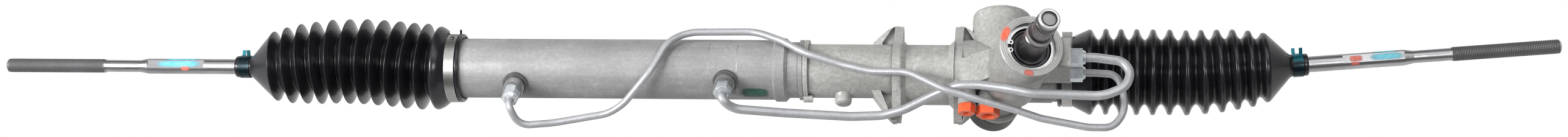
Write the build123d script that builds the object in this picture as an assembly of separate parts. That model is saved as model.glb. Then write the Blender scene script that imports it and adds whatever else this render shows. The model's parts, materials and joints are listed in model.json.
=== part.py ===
from build123d import *
from math import acos, atan2, cos, exp, hypot, pi, radians, sin, sqrt, tan
import os

# Hydraulic power steering rack, in millimetres.
# +X runs along the rack, +Y points away from the pinion side to the yoke side,
# and +Z runs up towards the steering column.  The origin is on the rack's axis,
# midway between the two clamp flanges.

os.makedirs("parts", exist_ok=True)

# ---------------------------------------------------------------- fits
FIT = 0.05                  # radial clearance of seated and running round fits
GAP = 0.3                   # space kept between soft and rigid pieces that move apart

# ---------------------------------------------------------------- layout along the rack
PINION_X = 68.0             # where the pinion and the yoke cross the rack's axis
PINION_TO_END = 63.0        # from there to the housing's right end
HALF_HOUSING = 286.0        # middle of the housing to each of its ends
END_REACH = 103.0           # housing's end to the inner ball's centre, with the rack in its middle
RACK_SHIFT = 2.9            # the rack rests this far right of the housing's middle
SEAM_X = -111.6             # joint between the cylinder tube and the casting

# ---------------------------------------------------------------- rack bar and its teeth
RACK_R = 13.0
RACK_BEVEL = 1.0
MODULE = 2.05
PINION_TEETH = 7
PRESSURE_ANGLE = radians(30)
TILT = 15.0                 # lean of the pinion's axis from Z towards +X, degrees
BACKLASH = 0.10
RACK_ADDENDUM = 1.5
PINION_ADDENDUM = 1.6
ROOT_CLEARANCE = 0.25
CUTTER_OVER = 1.0           # how far a tooth's cutter stands out of the rack
TOOTHED_HALF = 87.0         # the travel each way and the pinion's own contact
PITCH_R = MODULE * PINION_TEETH / 2
NORMAL_PITCH = pi * MODULE
AXIAL_PITCH = NORMAL_PITCH / cos(radians(TILT))
PINION_Y = -15.5            # the pinion's axis passes this far in front of the rack's axis
PITCH_LINE_Y = PINION_Y + PITCH_R

# ---------------------------------------------------------------- hydraulic cylinder
TUBE_R = 27.0
TUBE_WALL = 3.5
TUBE_BORE_R = TUBE_R - TUBE_WALL
PISTON_WIDTH = 22.0
RING_WIDTH = 4.0
RING_DEPTH = 3.0
PISTON_GAP = 0.2
SEAL_CARRIER_LENGTH = 24.0
ROD_SEAL_THICK = 6.0        # radial
ROD_SEAL_LENGTH = 7.0
ROD_SEAL_LIP = 2.0
SNAP_WIDTH = 2.0
SNAP_DEPTH = 1.5
SNAP_INSET = 1.5            # tube's end to the retaining ring's groove
SNAP_GAP = 8.0              # opening in the retaining ring
COLLAR_R = 28.7             # raised ring on the tube
COLLAR_WIDTH = 8.5
COLLAR_INSET = 17.0         # seam to the ring's near side
CRIMP_R = 25.2              # tube between that ring and the joint ring
JOINT_RING_R = 27.2         # raised ring half on the tube and half on the casting
JOINT_RING_HALF = 4.0
JOINT_GROOVE = 0.8          # depth and half width of the groove at the seam
SPIGOT_LENGTH = 12.0        # the casting's sleeve inside the tube

# ---------------------------------------------------------------- casting
NECK_R = 24.2               # between the seam and the first flange
NECK_Y = -0.8               # the neck, the saddle and its flanges are set off the rack's axis
LUG_R = 3.8                 # screw lug on the joint ring
LUG_LENGTH = 12.0
SADDLE_R = 27.0
SADDLE_Y = -4.0
SADDLE_LENGTH = 47.0        # free length between the flanges
SADDLE_CONE = 4.5           # slope from the saddle up to each flange
FLANGE_THICK = 7.5
FLANGE_REACH = 46.0         # saddle centre to each ear's tip, along Y
FLANGE_HALF_WIDTH = 30.0    # saddle centre to the flange's side, along Z
EAR_TIP_R = 9.0
GUSSET_LENGTH = 19.0
GUSSET_THICK = 8.0
GUSSET_RIM = 8.0            # width of the raised rim along each gusset's edge
GUSSET_RIM_THICK = 20.0
GUSSET_SINK = 1.0
BODY_R = 28.0               # right of the second flange
RACK_BORE_GAP = 1.6         # round the rack, clear of its bushes
RACK_BORE_R = RACK_R + RACK_BORE_GAP
CUFF_SEAT_LENGTH = 21.0     # turned end under the boot's cuff
BOSS_OFFSET = 35.6          # seam to the blind boss
BOSS_R = 7.6
BOSS_REACH = 33.5           # rack's axis to the end of the blind boss
BOSS_FOOT_R = 11.0
BOSS_FOOT_REACH = 26.0
WEB_LOW_Z = 26.0            # web from the second flange up to the pinion's tower
WEB_HIGH_Z = 50.0
WEB_FRONT_Y = -26.0
WEB_BACK_Y = 1.0

# ---------------------------------------------------------------- pinion and valve housing
# Heights are along the pinion's axis, from the rack's axis.
MOUTH_Z = 101.0
RIM_R = 28.0
RIM_DEPTH = 14.0
VALVE_BODY_R = 26.0
VALVE_BODY_Z = 16.0
VALVE_BORE_R = 20.0
VALVE_FLOOR_Z = 33.0
RIM_BEVEL = 1.5
SEAL_BORE_R = 21.5
SEAL_FLOOR_Z = 86.0
LOWER_BODY_R = 19.0
LOWER_BODY_Z = -45.0
PINION_BORE_R = 10.0
LOWER_BEARING_R = 15.0
LOWER_BEARING_Z = -38.0
UPPER_BEARING_R = 17.0
BEARING_WIDTH = 11.0
CAP_R = 23.0
CAP_TOP_Z = -32.0
CAP_RIM_Z = -24.0           # the casting's own rim above the cap starts here
CAP_BEVEL = 1.5
CAP_FLOOR = 8.0
CAP_HEX_HEIGHT = 4.5
CAP_THREAD_R = 17.0
SEAL_WIDTH = 8.0
SNAP_RING_THICK = 1.6
SNAP_RING_Z = 94.5
SNAP_EYE_R = 2.2
SNAP_EYE_SPREAD = 3.6
SEAL_DISH = 4.0             # depth of the hollow in the seal's face
SEAL_SHELL = 3.0
SEAL_LIP = 1.6
CAP_FLATS = 30.0
RACK_BUSH_LENGTH = 22.0
RACK_BUSH_WALL = 3.5
PORT_DEPTH = 14.0
RACE_RECESS = 1.5
RACE_SHARE = 0.3            # of a bearing's thickness, for each race

# ---------------------------------------------------------------- pinion, valve and input shaft
GEAR_HALF = 15.0
PINION_JOURNAL_R = 6.0
PINION_NECK_R = 9.0
CUP_R = 15.0
CUP_HEIGHT = 8.0
SLEEVE_LENGTH = 44.0
SLEEVE_GROOVES = 4
SLEEVE_RING_WIDTH = 2.0
SLEEVE_GROOVE_DEPTH = 2.0
SLEEVE_GAP = 0.3
SLEEVE_PORT_R = 1.5
JOURNAL_R = 11.6            # input shaft where the seal runs
JOURNAL_TOP_Z = 124.0
SPLINE_R = 9.5
SPLINE_TOP_Z = 150.0
GROOVE_R = 8.3
GROOVE_WIDTH = 3.0
SHAFT_TOP_Z = 163.0
END_RING_R = 9.2
SHAFT_BEVEL = 1.0
TORSION_R = 4.5
TORSION_WAIST_R = 3.4
TORSION_HEAD_R = 6.4
TORSION_HEAD_LENGTH = 9.0
TORSION_HEAD_DEPTH = 2.0    # the bar's head sits this far below the shaft's end
TORSION_SEAT_DEPTH = 24.0

# ---------------------------------------------------------------- yoke
YOKE_OFFSET = 3.3           # the yoke sits a little left of the pinion's crossing
YOKE_HOUSING_R = 26.2
YOKE_REACH = 55.0           # rack's axis to the yoke housing's end
YOKE_R = 19.0
YOKE_FRONT_Y = 4.0
YOKE_BACK_Y = 33.0
YOKE_PLUG_LENGTH = 9.0
YOKE_PLUG_RECESS = 1.5
YOKE_HEX_FLATS = 17.0
YOKE_POCKET_DEPTH = 12.0
YOKE_POCKET_WALL = 4.0
YOKE_ROUNDING = 5.0
SPRING_THICK = 1.5

# ---------------------------------------------------------------- valve port block
BLOCK_REACH = 59.0          # pinion to the block's face, along X
BLOCK_EDGE_R = 2.0
BLOCK_HALF_Y = 14.0
BLOCK_LOW_Z = 45.0
BLOCK_HIGH_Z = 85.0
UPPER_PORT = (-16.5, 74.0)  # (Y, Z) of the upper pipe's port on the block's face
LOWER_PORT = (-22.0, 52.0)

# ---------------------------------------------------------------- unions, nuts and pipes
PIPE_LEFT_R = 3.2           # from the left union to the lower port
PIPE_RIGHT_R = 4.0          # from the right union to the upper port
UNION_R = 8.5
UNION_WASHER_R = 11.0
UNION_WASHER_THICK = 2.5
UNION_LENGTH = 16.0
NUT_FLATS = 14.0
NUT_LENGTH = 13.0
NUT_NOSE = 2.5
NUT_STEP = 0.5              # hexagon's flats to the nose
NUT_WALL = 1.5              # at the nose's end
UNION_SINK = 2.0            # how far a union's foot is cut to the tube's curve
BEND_R = 40.0
PIPE_LEAD = 8.0             # straight run out of each nut
BEND_SHARE = 0.45           # most of a run that one bend may use
LEFT_UNION_INSET = 68.0     # tube's left end to the left union
RIGHT_UNION_INSET = 69.4    # seam to the right union
LEFT_UNION_CLOCK = 38.0     # degrees from -Y towards +Z
RIGHT_UNION_CLOCK = 45.0

# ---------------------------------------------------------------- hose ports with their plugs
HOSE_PORTS = ((-32.0, 24.0, 5.0), (-13.5, 18.0, 7.5))   # (X from the pinion, Z, bore radius)
HOSE_PORT_REACH = 42.0      # rack's axis to the bosses' faces, along -Y
PORT_BOSS_WALL = 3.0
PLUG_HEAD_RIM = 1.6         # how far a plug's head stands over its bore
PLUG_HEAD_LENGTH = 8.0
PLUG_STEM_LENGTH = 9.0
PLUG_WALL = 1.8

# ---------------------------------------------------------------- boots
CUFF_OVERLAP = 16.0         # length of the housing's end inside each cuff
BOOT_REACH = 99.0           # inner ball's centre to the neck's end
BOOT_WALL = 2.0
CUFF_THICK = 3.4
CUFF_LENGTH = 15.0
FOLDS = 12
RIDGE_R = 38.5
RIDGE_SHRINK = 7.5          # how much smaller the last ridge is than the full ones
RIDGE_FADE = 1.9            # folds over which that fades
VALLEY_R = 28.5
VALLEY_SHRINK = 5.0
BOOT_TAPER = 16.6           # last fold to the neck, with the rack in its middle
BOOT_NECK_LENGTH = 16.0
CLAMP_INSET = 7.5           # housing's end to the clamp's middle
CLAMP_WIDTH = 9.0
CLAMP_THICK = 0.9
EAR_HEIGHT = 5.0
EAR_WIDTH = 10.0
CLIP_WIDTH = 9.0
CLIP_THICK = 0.8
CLIP_INSET = 4.5            # neck's end to the clip
TANG_WIDTH = 3.0
TANG_LENGTH = 6.0
TANG_SPREAD = 14.0          # degrees each side of the clip's middle
EAR_LEAN = -68.0            # clamps' ears and clips' tangs look this way round X from +Z
CREST_FLAT = 3.0

# ---------------------------------------------------------------- inner ball joints and tie rods
BALL_R = 13.5
SEAT_WALL = 1.95
MOUTH_ANGLE = 58.0          # half angle of the socket's open mouth
SOCKET_R = 18.0
SOCKET_BACK = 22.0          # ball centre to the socket's inboard face
SOCKET_LIP = 10.0
LIP_WALL = 1.5
STUD_R = 8.0
STUD_LENGTH = 25.0
WASHER_THICK = 2.0
WASHER_R = 17.0
ROD_NECK_R = 5.5
ROD_NECK_END = 15.0         # distances from the ball's centre
SHANK_R = 7.0
SHANK_START = 26.0
FLATS_START = 129.0
FLATS_LENGTH = 54.0
FLATS_ACROSS = 12.0
THIN_R = 5.5
THREAD_R = 6.0
THREAD_LENGTH = 95.0
ROD_LENGTH = 319.0
ROD_CHAMFER = 1.5
STEM_TAPER = 8.0
LEFT_ROD_SWING = 0.0        # resting swing of each rod about Z, degrees
RIGHT_ROD_SWING = 4.85

# ---------------------------------------------------------------- worked out
RIGHT_END_X = PINION_X + PINION_TO_END
YOKE_X = PINION_X - YOKE_OFFSET
MID_X = RIGHT_END_X - HALF_HOUSING      # middle of the housing
RACK_X = MID_X + RACK_SHIFT             # middle of the rack at rest
LEFT_END_X = MID_X - HALF_HOUSING
LEFT_UNION_X = LEFT_END_X + LEFT_UNION_INSET
RIGHT_UNION_X = SEAM_X - RIGHT_UNION_INSET
BLOCK_FACE_X = PINION_X + BLOCK_REACH
HALF_BALLS = HALF_HOUSING + END_REACH   # middle of the rack to each inner ball's centre
LEFT_BALL_X = RACK_X - HALF_BALLS
RIGHT_BALL_X = RACK_X + HALF_BALLS
PISTON_X = (LEFT_UNION_X + RIGHT_UNION_X) / 2
RACK_HALF = HALF_BALLS - SOCKET_BACK - WASHER_THICK
FLANGE_FACE_X = SADDLE_LENGTH / 2 + FLANGE_THICK
NECK_START = BOOT_REACH - BOOT_NECK_LENGTH
FOLDED_LENGTH = END_REACH + CUFF_OVERLAP - CUFF_LENGTH + NECK_START - BOOT_TAPER
FOLD_PITCH = FOLDED_LENGTH / FOLDS
SNAP_START_X = LEFT_END_X + SNAP_INSET
LEFT_CARRIER_X = SNAP_START_X + SNAP_WIDTH + FIT
RIGHT_CARRIER_X = SEAM_X - SPIGOT_LENGTH - FIT - SEAL_CARRIER_LENGTH
PINION_FRAME = Location((PINION_X, PINION_Y, 0), (0, TILT, 0))
CUP_Z = VALVE_FLOOR_Z + GAP
SLEEVE_Z = VALVE_FLOOR_Z + 2 * GAP
RIGHT_END_FRAME = Location((RIGHT_BALL_X, 0, 0))
LEFT_END_FRAME = Location((LEFT_BALL_X, 0, 0), (0, 0, 180))
BOTTOM = (Align.CENTER, Align.CENTER, Align.MIN)


# ---------------------------------------------------------------- shapes used throughout
def lathe(points, axis=Axis.X):
    """A solid turned about the X or Z axis from a closed outline of (along, radius) points."""
    if axis == Axis.X:
        outline = [(along, radius, 0) for along, radius in points]
    else:
        outline = [(radius, 0, along) for along, radius in points]
    return revolve(make_face(Polyline(*outline, close=True)), axis)


def ring(start, end, outer, inner=0, axis=Axis.X):
    """A plain ring, or a plain bar where there is no inner radius."""
    return lathe([(start, inner), (end, inner), (end, outer), (start, outer)], axis)


def hexagon(across, length):
    """A hexagonal bar standing on the XY plane."""
    return extrude(RegularPolygon(across / 2, 6, major_radius=False), length)


def around_rack(x, clock):
    """Frame on the rack's axis whose +Z looks outwards at a clock angle from -Y towards +Z."""
    return Location((x, 0, 0), (90 - clock, 0, 0))


def point_above(seat, height):
    """Point on a seat's axis, this far out from it."""
    return (seat * Pos(0, 0, height)).position


def save(name, *solids):
    """Write one named piece, or one group of identical pieces, to its STEP file."""
    pieces = [piece for solid in solids for piece in solid.solids()]
    export_step(pieces[0] if len(pieces) == 1 else Compound(children=pieces), f"parts/{name}.step")


# ---------------------------------------------------------------- cylinder
UNION_SEATS = (
    (around_rack(LEFT_UNION_X, LEFT_UNION_CLOCK), PIPE_LEFT_R),
    (around_rack(RIGHT_UNION_X, RIGHT_UNION_CLOCK), PIPE_RIGHT_R),
)


def rack_tube():
    """Cylinder tube: a port under each union, and a collar, a crimp and half the joint ring."""
    collar_end = SEAM_X - COLLAR_INSET
    collar_start = collar_end - COLLAR_WIDTH
    step = COLLAR_R - TUBE_R
    tube = lathe(
        [(LEFT_END_X, 0), (LEFT_END_X, TUBE_R), (collar_start - step, TUBE_R), (collar_start, COLLAR_R),
         (collar_end, COLLAR_R), (collar_end + 2 * step, CRIMP_R), (SEAM_X - JOINT_RING_HALF, CRIMP_R),
         (SEAM_X - JOINT_RING_HALF, JOINT_RING_R), (SEAM_X - JOINT_GROOVE, JOINT_RING_R),
         (SEAM_X, JOINT_RING_R - JOINT_GROOVE), (SEAM_X, 0)])
    tube -= ring(LEFT_END_X, SEAM_X, TUBE_BORE_R)
    tube -= ring(SNAP_START_X, SNAP_START_X + SNAP_WIDTH, TUBE_BORE_R + SNAP_DEPTH)
    for seat, pipe_r in UNION_SEATS:
        tube -= seat * Cylinder(pipe_r, 2 * TUBE_R, align=BOTTOM)
    return tube


def seal_carrier(start):
    """Bush that guides the rack, with a pocket for the rod seal at its +X end."""
    end = start + SEAL_CARRIER_LENGTH
    bush = ring(start, end, TUBE_BORE_R - FIT, RACK_R + FIT)
    return bush - ring(end - ROD_SEAL_LENGTH, end, RACK_R + ROD_SEAL_THICK)


def rod_seal(start):
    """Rod seal with a hollow between its lips, open towards +X."""
    inner = RACK_R + FIT
    outer = RACK_R + ROD_SEAL_THICK - FIT
    end = start + ROD_SEAL_LENGTH - FIT
    hollow = ring(start + ROD_SEAL_LENGTH / 2, end, outer - ROD_SEAL_LIP, inner + ROD_SEAL_LIP)
    return ring(start, end, outer, inner) - hollow


def facing_left(solid, start, length):
    """The same turned piece the other way round, kept between start and start + length."""
    return mirror(solid, about=Plane(origin=(start + length / 2, 0, 0), z_dir=(1, 0, 0)))


def end_retainer():
    """Retaining ring in its groove at the tube's open end, with the gap that lets it close."""
    snap = ring(SNAP_START_X + FIT, SNAP_START_X + SNAP_WIDTH - FIT,
                TUBE_BORE_R + SNAP_DEPTH - FIT, TUBE_BORE_R - 2 * SNAP_DEPTH)
    return snap - Pos(SNAP_START_X, 0, TUBE_BORE_R) * Box(2 * TUBE_WALL, SNAP_GAP, 2 * TUBE_WALL)


# ---------------------------------------------------------------- casting
def flange(x_start, thick):
    """Clamp flange's outline, a round waist drawn out to an ear each way along Y, as a plate."""
    plane = Plane(origin=(x_start, SADDLE_Y, 0), x_dir=(0, 1, 0), z_dir=(1, 0, 0))
    tip_y = FLANGE_REACH - EAR_TIP_R
    circles = Circle(FLANGE_HALF_WIDTH)
    for way in (-1, 1):
        circles += Pos(way * tip_y) * Circle(EAR_TIP_R)
    return extrude(plane * make_hull(circles.edges()), thick)


def saddle_cone(side):
    """Slope that eases the saddle into one flange."""
    face_x = side * SADDLE_LENGTH / 2
    top = SADDLE_R + SADDLE_CONE
    return Pos(0, SADDLE_Y, 0) * lathe([(face_x, 0), (face_x, top), (face_x - side * SADDLE_CONE, SADDLE_R),
                                        (face_x - side * SADDLE_CONE, 0)])


def gussets(side):
    """The two webs that brace a flange's ears from its outer side, each with a raised rim."""
    face_x, foot_x = side * (FLANGE_FACE_X - FLANGE_THICK / 2), side * (FLANGE_FACE_X + GUSSET_LENGTH)
    within = flange(min(face_x, foot_x), GUSSET_LENGTH + FLANGE_THICK / 2)
    pieces = []
    for way in (-1, 1):
        tip = (side * FLANGE_FACE_X, SADDLE_Y + way * (FLANGE_REACH - FIT))
        foot = (foot_x, way * (NECK_R - GUSSET_SINK))
        web = make_face(Polyline((face_x, 0), (foot_x, 0), foot, tip, (face_x, tip[1]), close=True))
        rim = make_face(Polyline((foot_x, 0), foot, tip, (foot_x - side * GUSSET_RIM, foot[1]),
                                 (foot_x - side * GUSSET_RIM, 0), close=True))
        pieces.append(extrude(web, GUSSET_THICK / 2, both=True))
        pieces.append(extrude(rim, GUSSET_RIM_THICK / 2, both=True) & within)
    return pieces


def tower_web():
    """Thick web that rises from the second flange to the pinion's tower."""
    top_x = PINION_X + WEB_HIGH_Z * tan(radians(TILT))
    side_face = Polyline((SADDLE_LENGTH / 2, 0), (SADDLE_LENGTH / 2, WEB_LOW_Z), (FLANGE_FACE_X, WEB_LOW_Z),
                         (top_x - VALVE_BODY_R, WEB_HIGH_Z), (top_x, WEB_HIGH_Z), (top_x, 0), close=True)
    plane = Plane(origin=(0, WEB_BACK_Y, 0), x_dir=(1, 0, 0), z_dir=(0, -1, 0))
    return extrude(plane * make_face(side_face), WEB_BACK_Y - WEB_FRONT_Y)


def lug():
    """Round screw lug along the joint ring's front."""
    return Pos(SEAM_X, -JOINT_RING_R, 0) * ring(0, LUG_LENGTH - JOINT_RING_HALF, LUG_R)


def yoke_housing():
    """Barrel for the yoke, square to the rack and rounded at its outer end."""
    barrel = Pos(YOKE_X, 0, 0) * Rot(-90, 0, 0) * Cylinder(YOKE_HOUSING_R, YOKE_REACH, align=BOTTOM)
    return fillet(barrel.edges().sort_by(Axis.Y)[-1], YOKE_ROUNDING)


def pinion_housing():
    """Barrel for the pinion below and the valve above, with a heavier rim at its mouth."""
    rim_z = MOUTH_Z - RIM_DEPTH
    return PINION_FRAME * lathe(
        [(LOWER_BODY_Z, 0), (LOWER_BODY_Z, LOWER_BODY_R), (CAP_TOP_Z + FIT, LOWER_BODY_R),
         (CAP_TOP_Z + FIT, CAP_R), (CAP_RIM_Z - RIM_BEVEL, CAP_R), (CAP_RIM_Z, CAP_R - RIM_BEVEL),
         (CAP_RIM_Z, LOWER_BODY_R), (0, LOWER_BODY_R),
         (VALVE_BODY_Z, VALVE_BODY_R), (rim_z - RIM_BEVEL, VALVE_BODY_R), (rim_z, RIM_R),
         (MOUTH_Z - RIM_BEVEL, RIM_R), (MOUTH_Z, RIM_R - RIM_BEVEL), (MOUTH_Z, 0)], Axis.Z)


def pinion_bores():
    """Everything cut along the pinion's axis, from the mouth down to the cap's thread."""
    upper_bearing_z = VALVE_FLOOR_Z - BEARING_WIDTH
    lower_bearing_top = LOWER_BEARING_Z + BEARING_WIDTH
    bores = lathe(
        [(LOWER_BODY_Z, 0), (LOWER_BODY_Z, CAP_THREAD_R), (LOWER_BEARING_Z, CAP_THREAD_R),
         (LOWER_BEARING_Z, LOWER_BEARING_R), (lower_bearing_top, LOWER_BEARING_R),
         (lower_bearing_top, PINION_BORE_R), (upper_bearing_z, PINION_BORE_R),
         (upper_bearing_z, UPPER_BEARING_R), (VALVE_FLOOR_Z, UPPER_BEARING_R),
         (VALVE_FLOOR_Z, VALVE_BORE_R), (SEAL_FLOOR_Z, VALVE_BORE_R),
         (SEAL_FLOOR_Z, SEAL_BORE_R), (MOUTH_Z, SEAL_BORE_R), (MOUTH_Z, 0)], Axis.Z)
    return PINION_FRAME * (bores + ring(SNAP_RING_Z, SNAP_RING_Z + SNAP_RING_THICK + FIT,
                                        SEAL_BORE_R + SNAP_DEPTH, 0, Axis.Z))


def port_block():
    """Block on the valve housing's right side that takes both cylinder pipes."""
    height = BLOCK_HIGH_Z - BLOCK_LOW_Z
    block = Pos(BLOCK_FACE_X, PINION_Y, BLOCK_LOW_Z) * Box(
        BLOCK_FACE_X - PINION_X, 2 * BLOCK_HALF_Y, height, align=(Align.MAX, Align.CENTER, Align.MIN))
    return fillet(block.edges().filter_by(Axis.X), BLOCK_EDGE_R)


def port_seat(port):
    """Frame on the block's face at one port, looking out along +X."""
    return Location((BLOCK_FACE_X, *port), (0, 90, 0))


def hose_seat(port):
    """Frame on one hose boss's face, looking out along -Y."""
    return Location((PINION_X + port[0], -HOSE_PORT_REACH, port[1]), (90, 0, 0))


def boss():
    """Blind boss with a domed end on the casting's front."""
    core = Cylinder(BOSS_R, BOSS_REACH, align=BOTTOM)
    core = fillet(core.edges().sort_by(Axis.Z)[-1], BOSS_R / 2)
    core += Cone(BOSS_FOOT_R + BOSS_R / 2, BOSS_R, BOSS_FOOT_REACH, align=BOTTOM)
    return Pos(SEAM_X + BOSS_OFFSET, 0, 0) * Rot(90, 0, 0) * core


def gear_housing():
    """One casting: spigot, joint ring, neck, clamp saddle, yoke and pinion barrels, boot seat."""
    seat_x = RIGHT_END_X - CUFF_SEAT_LENGTH
    body = ring(SEAM_X - SPIGOT_LENGTH, SEAM_X, TUBE_BORE_R - FIT)
    body += Pos(0, NECK_Y, 0) * ring(SEAM_X, -SADDLE_LENGTH / 2, NECK_R)
    body += lathe(
        [(SEAM_X, 0), (SEAM_X, JOINT_RING_R - JOINT_GROOVE), (SEAM_X + JOINT_GROOVE, JOINT_RING_R),
         (SEAM_X + JOINT_RING_HALF, JOINT_RING_R), (SEAM_X + JOINT_RING_HALF, 0)])
    body += Pos(0, SADDLE_Y, 0) * ring(-FLANGE_FACE_X, FLANGE_FACE_X, SADDLE_R)
    body += [flange(-FLANGE_FACE_X, FLANGE_THICK), flange(SADDLE_LENGTH / 2, FLANGE_THICK)]
    for side in (-1, 1):
        body += [saddle_cone(side)] + gussets(side)
    body += ring(SADDLE_LENGTH / 2, seat_x, BODY_R)
    body += ring(seat_x, RIGHT_END_X, TUBE_R)
    body += [lug(), boss(), tower_web(), yoke_housing(), pinion_housing(), port_block()]
    for port in HOSE_PORTS:
        body += hose_seat(port) * Pos(0, 0, -HOSE_PORT_REACH) * Cylinder(
            port[2] + PORT_BOSS_WALL, HOSE_PORT_REACH, align=BOTTOM)
    body -= ring(SEAM_X - SPIGOT_LENGTH, RIGHT_END_X - RACK_BUSH_LENGTH, RACK_BORE_R)
    body -= ring(RIGHT_END_X - RACK_BUSH_LENGTH, RIGHT_END_X, RACK_R + RACK_BUSH_WALL)
    body -= Pos(YOKE_X, 0, 0) * Rot(-90, 0, 0) * Cylinder(YOKE_R, YOKE_REACH, align=BOTTOM)
    body -= PINION_FRAME * ring(LOWER_BODY_Z, CAP_TOP_Z + FIT, CAP_R + FIT, LOWER_BODY_R, Axis.Z)
    body -= pinion_bores()
    for port, pipe_r in ((UPPER_PORT, PIPE_RIGHT_R), (LOWER_PORT, PIPE_LEFT_R)):
        bore = Cylinder(pipe_r + FIT, PORT_DEPTH, align=BOTTOM)
        body -= port_seat(port) * Pos(0, 0, -PORT_DEPTH) * bore
    for port in HOSE_PORTS:
        depth = PLUG_STEM_LENGTH + FIT
        body -= hose_seat(port) * Pos(0, 0, -depth) * Cylinder(port[2], depth, align=BOTTOM)
    return body


def rack_bush():
    """Bush in the casting's open end that guides the rack."""
    return ring(RIGHT_END_X - RACK_BUSH_LENGTH, RIGHT_END_X, RACK_R + RACK_BUSH_WALL - FIT, RACK_R + FIT)


# ---------------------------------------------------------------- yoke
def yoke():
    """Cylinder that presses the rack into mesh, hollowed to the rack's back and bored behind."""
    frame = Pos(YOKE_X, 0, 0) * Rot(-90, 0, 0)
    body = frame * Pos(0, 0, YOKE_FRONT_Y) * Cylinder(
        YOKE_R - FIT, YOKE_BACK_Y - YOKE_FRONT_Y, align=BOTTOM)
    pocket = frame * Pos(0, 0, YOKE_BACK_Y - YOKE_POCKET_DEPTH) * Cylinder(
        YOKE_R - YOKE_POCKET_WALL, YOKE_POCKET_DEPTH, align=BOTTOM)
    return body - pocket - ring(YOKE_X - YOKE_R, YOKE_X + YOKE_R, RACK_R + FIT)


def yoke_spring():
    """Two disc springs back to back between the yoke and its plug."""
    floor = YOKE_BACK_Y - YOKE_POCKET_DEPTH
    top = YOKE_REACH - YOKE_PLUG_RECESS - YOKE_PLUG_LENGTH
    middle = (floor + top) / 2
    outer = YOKE_R - YOKE_POCKET_WALL - GAP
    inner = outer / 2
    discs = lathe(
        [(floor, inner), (floor, inner + SPRING_THICK), (middle - SPRING_THICK / 2, outer),
         (middle + SPRING_THICK / 2, outer), (top, inner + SPRING_THICK), (top, inner),
         (middle, outer - 2 * SPRING_THICK)], Axis.Z)
    return Pos(YOKE_X, 0, 0) * Rot(-90, 0, 0) * discs


def yoke_plug():
    """Threaded plug with a hexagonal socket that sets the yoke's preload."""
    frame = Pos(YOKE_X, YOKE_REACH - YOKE_PLUG_RECESS, 0) * Rot(90, 0, 0)
    plug = frame * Cylinder(YOKE_R - FIT, YOKE_PLUG_LENGTH, align=BOTTOM)
    return plug - frame * hexagon(YOKE_HEX_FLATS, YOKE_PLUG_LENGTH / 2)


# ---------------------------------------------------------------- rack, piston and pinion
def tooth_space():
    """Cutter for one rack tooth space, standing on the pinion's axis at its pitch point."""
    slope = tan(PRESSURE_ANGLE)
    half = NORMAL_PITCH / 4
    deep = PINION_ADDENDUM + ROOT_CLEARANCE
    high = RACK_ADDENDUM + CUTTER_OVER
    top, foot = half + high * slope, half - deep * slope
    outline = Polyline((-top, PITCH_R - high), (top, PITCH_R - high), (foot, PITCH_R + deep),
                       (-foot, PITCH_R + deep), close=True)
    return extrude(make_face(outline), 2 * RACK_R, both=True)


def rack_bar():
    """Round bar with a flat of oblique teeth on the pinion's side and a tapped hole in each end."""
    start, end = RACK_X - RACK_HALF, RACK_X + RACK_HALF
    bar = lathe([(start, 0), (start, RACK_R - RACK_BEVEL), (start + RACK_BEVEL, RACK_R),
                 (end - RACK_BEVEL, RACK_R), (end, RACK_R - RACK_BEVEL), (end, 0)])
    flat_y = PITCH_LINE_Y - RACK_ADDENDUM
    bar -= Pos(PINION_X, flat_y, 0) * Box(2 * TOOTHED_HALF, RACK_R, 2 * RACK_R,
                                          align=(Align.CENTER, Align.MAX, Align.CENTER))
    spaces = int((TOOTHED_HALF - AXIAL_PITCH) / AXIAL_PITCH)
    cutter = tooth_space()
    bar -= [Pos(space * AXIAL_PITCH, 0, 0) * PINION_FRAME * cutter for space in range(-spaces, spaces + 1)]
    depth = STUD_LENGTH + GAP
    bar -= ring(start, start + depth, STUD_R + FIT)
    bar -= ring(end - depth, end, STUD_R + FIT)
    return bar


def piston():
    """Piston on the rack with one groove for its sealing ring."""
    half = PISTON_WIDTH / 2
    body = ring(PISTON_X - half, PISTON_X + half, TUBE_BORE_R - PISTON_GAP, RACK_R + FIT)
    start, end = PISTON_X - RING_WIDTH / 2, PISTON_X + RING_WIDTH / 2
    groove = ring(start, end, TUBE_BORE_R, TUBE_BORE_R - RING_DEPTH)
    return body - groove


def piston_ring():
    """Sealing ring in the piston's groove, running in the tube."""
    half = RING_WIDTH / 2 - FIT
    return ring(PISTON_X - half, PISTON_X + half, TUBE_BORE_R - FIT, TUBE_BORE_R - RING_DEPTH + FIT)


def flank_angle(radius):
    """Half the angle that a pinion tooth fills at a radius, from the involute."""
    base = PITCH_R * cos(PRESSURE_ANGLE)
    turn = acos(min(1.0, base / radius))
    half = (NORMAL_PITCH / 2 - BACKLASH) / PITCH_R / 2
    return half + (tan(PRESSURE_ANGLE) - PRESSURE_ANGLE) - (tan(turn) - turn)


def polar(radius, angle):
    return radius * cos(angle), radius * sin(angle)


def pinion_section():
    """Outline of the pinion's teeth, with one tooth pointing along +Y."""
    base = PITCH_R * cos(PRESSURE_ANGLE)
    tip = PITCH_R + PINION_ADDENDUM
    root = PITCH_R - RACK_ADDENDUM - ROOT_CLEARANCE
    middle = (base + tip) / 2
    step = 2 * pi / PINION_TEETH
    edges = []
    for tooth in range(PINION_TEETH):
        centre = pi / 2 + tooth * step
        for way in (-1, 1):
            foot = centre + way * flank_angle(base)
            edges.append(Line(polar(root, foot), polar(base, foot)))
            edges.append(ThreePointArc(polar(base, foot), polar(middle, centre + way * flank_angle(middle)),
                                       polar(tip, centre + way * flank_angle(tip))))
        edges.append(ThreePointArc(polar(tip, centre - flank_angle(tip)), polar(tip, centre),
                                   polar(tip, centre + flank_angle(tip))))
        edges.append(ThreePointArc(polar(root, centre + flank_angle(base)), polar(root, centre + step / 2),
                                   polar(root, centre + step - flank_angle(base))))
    return make_face(edges)


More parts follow.
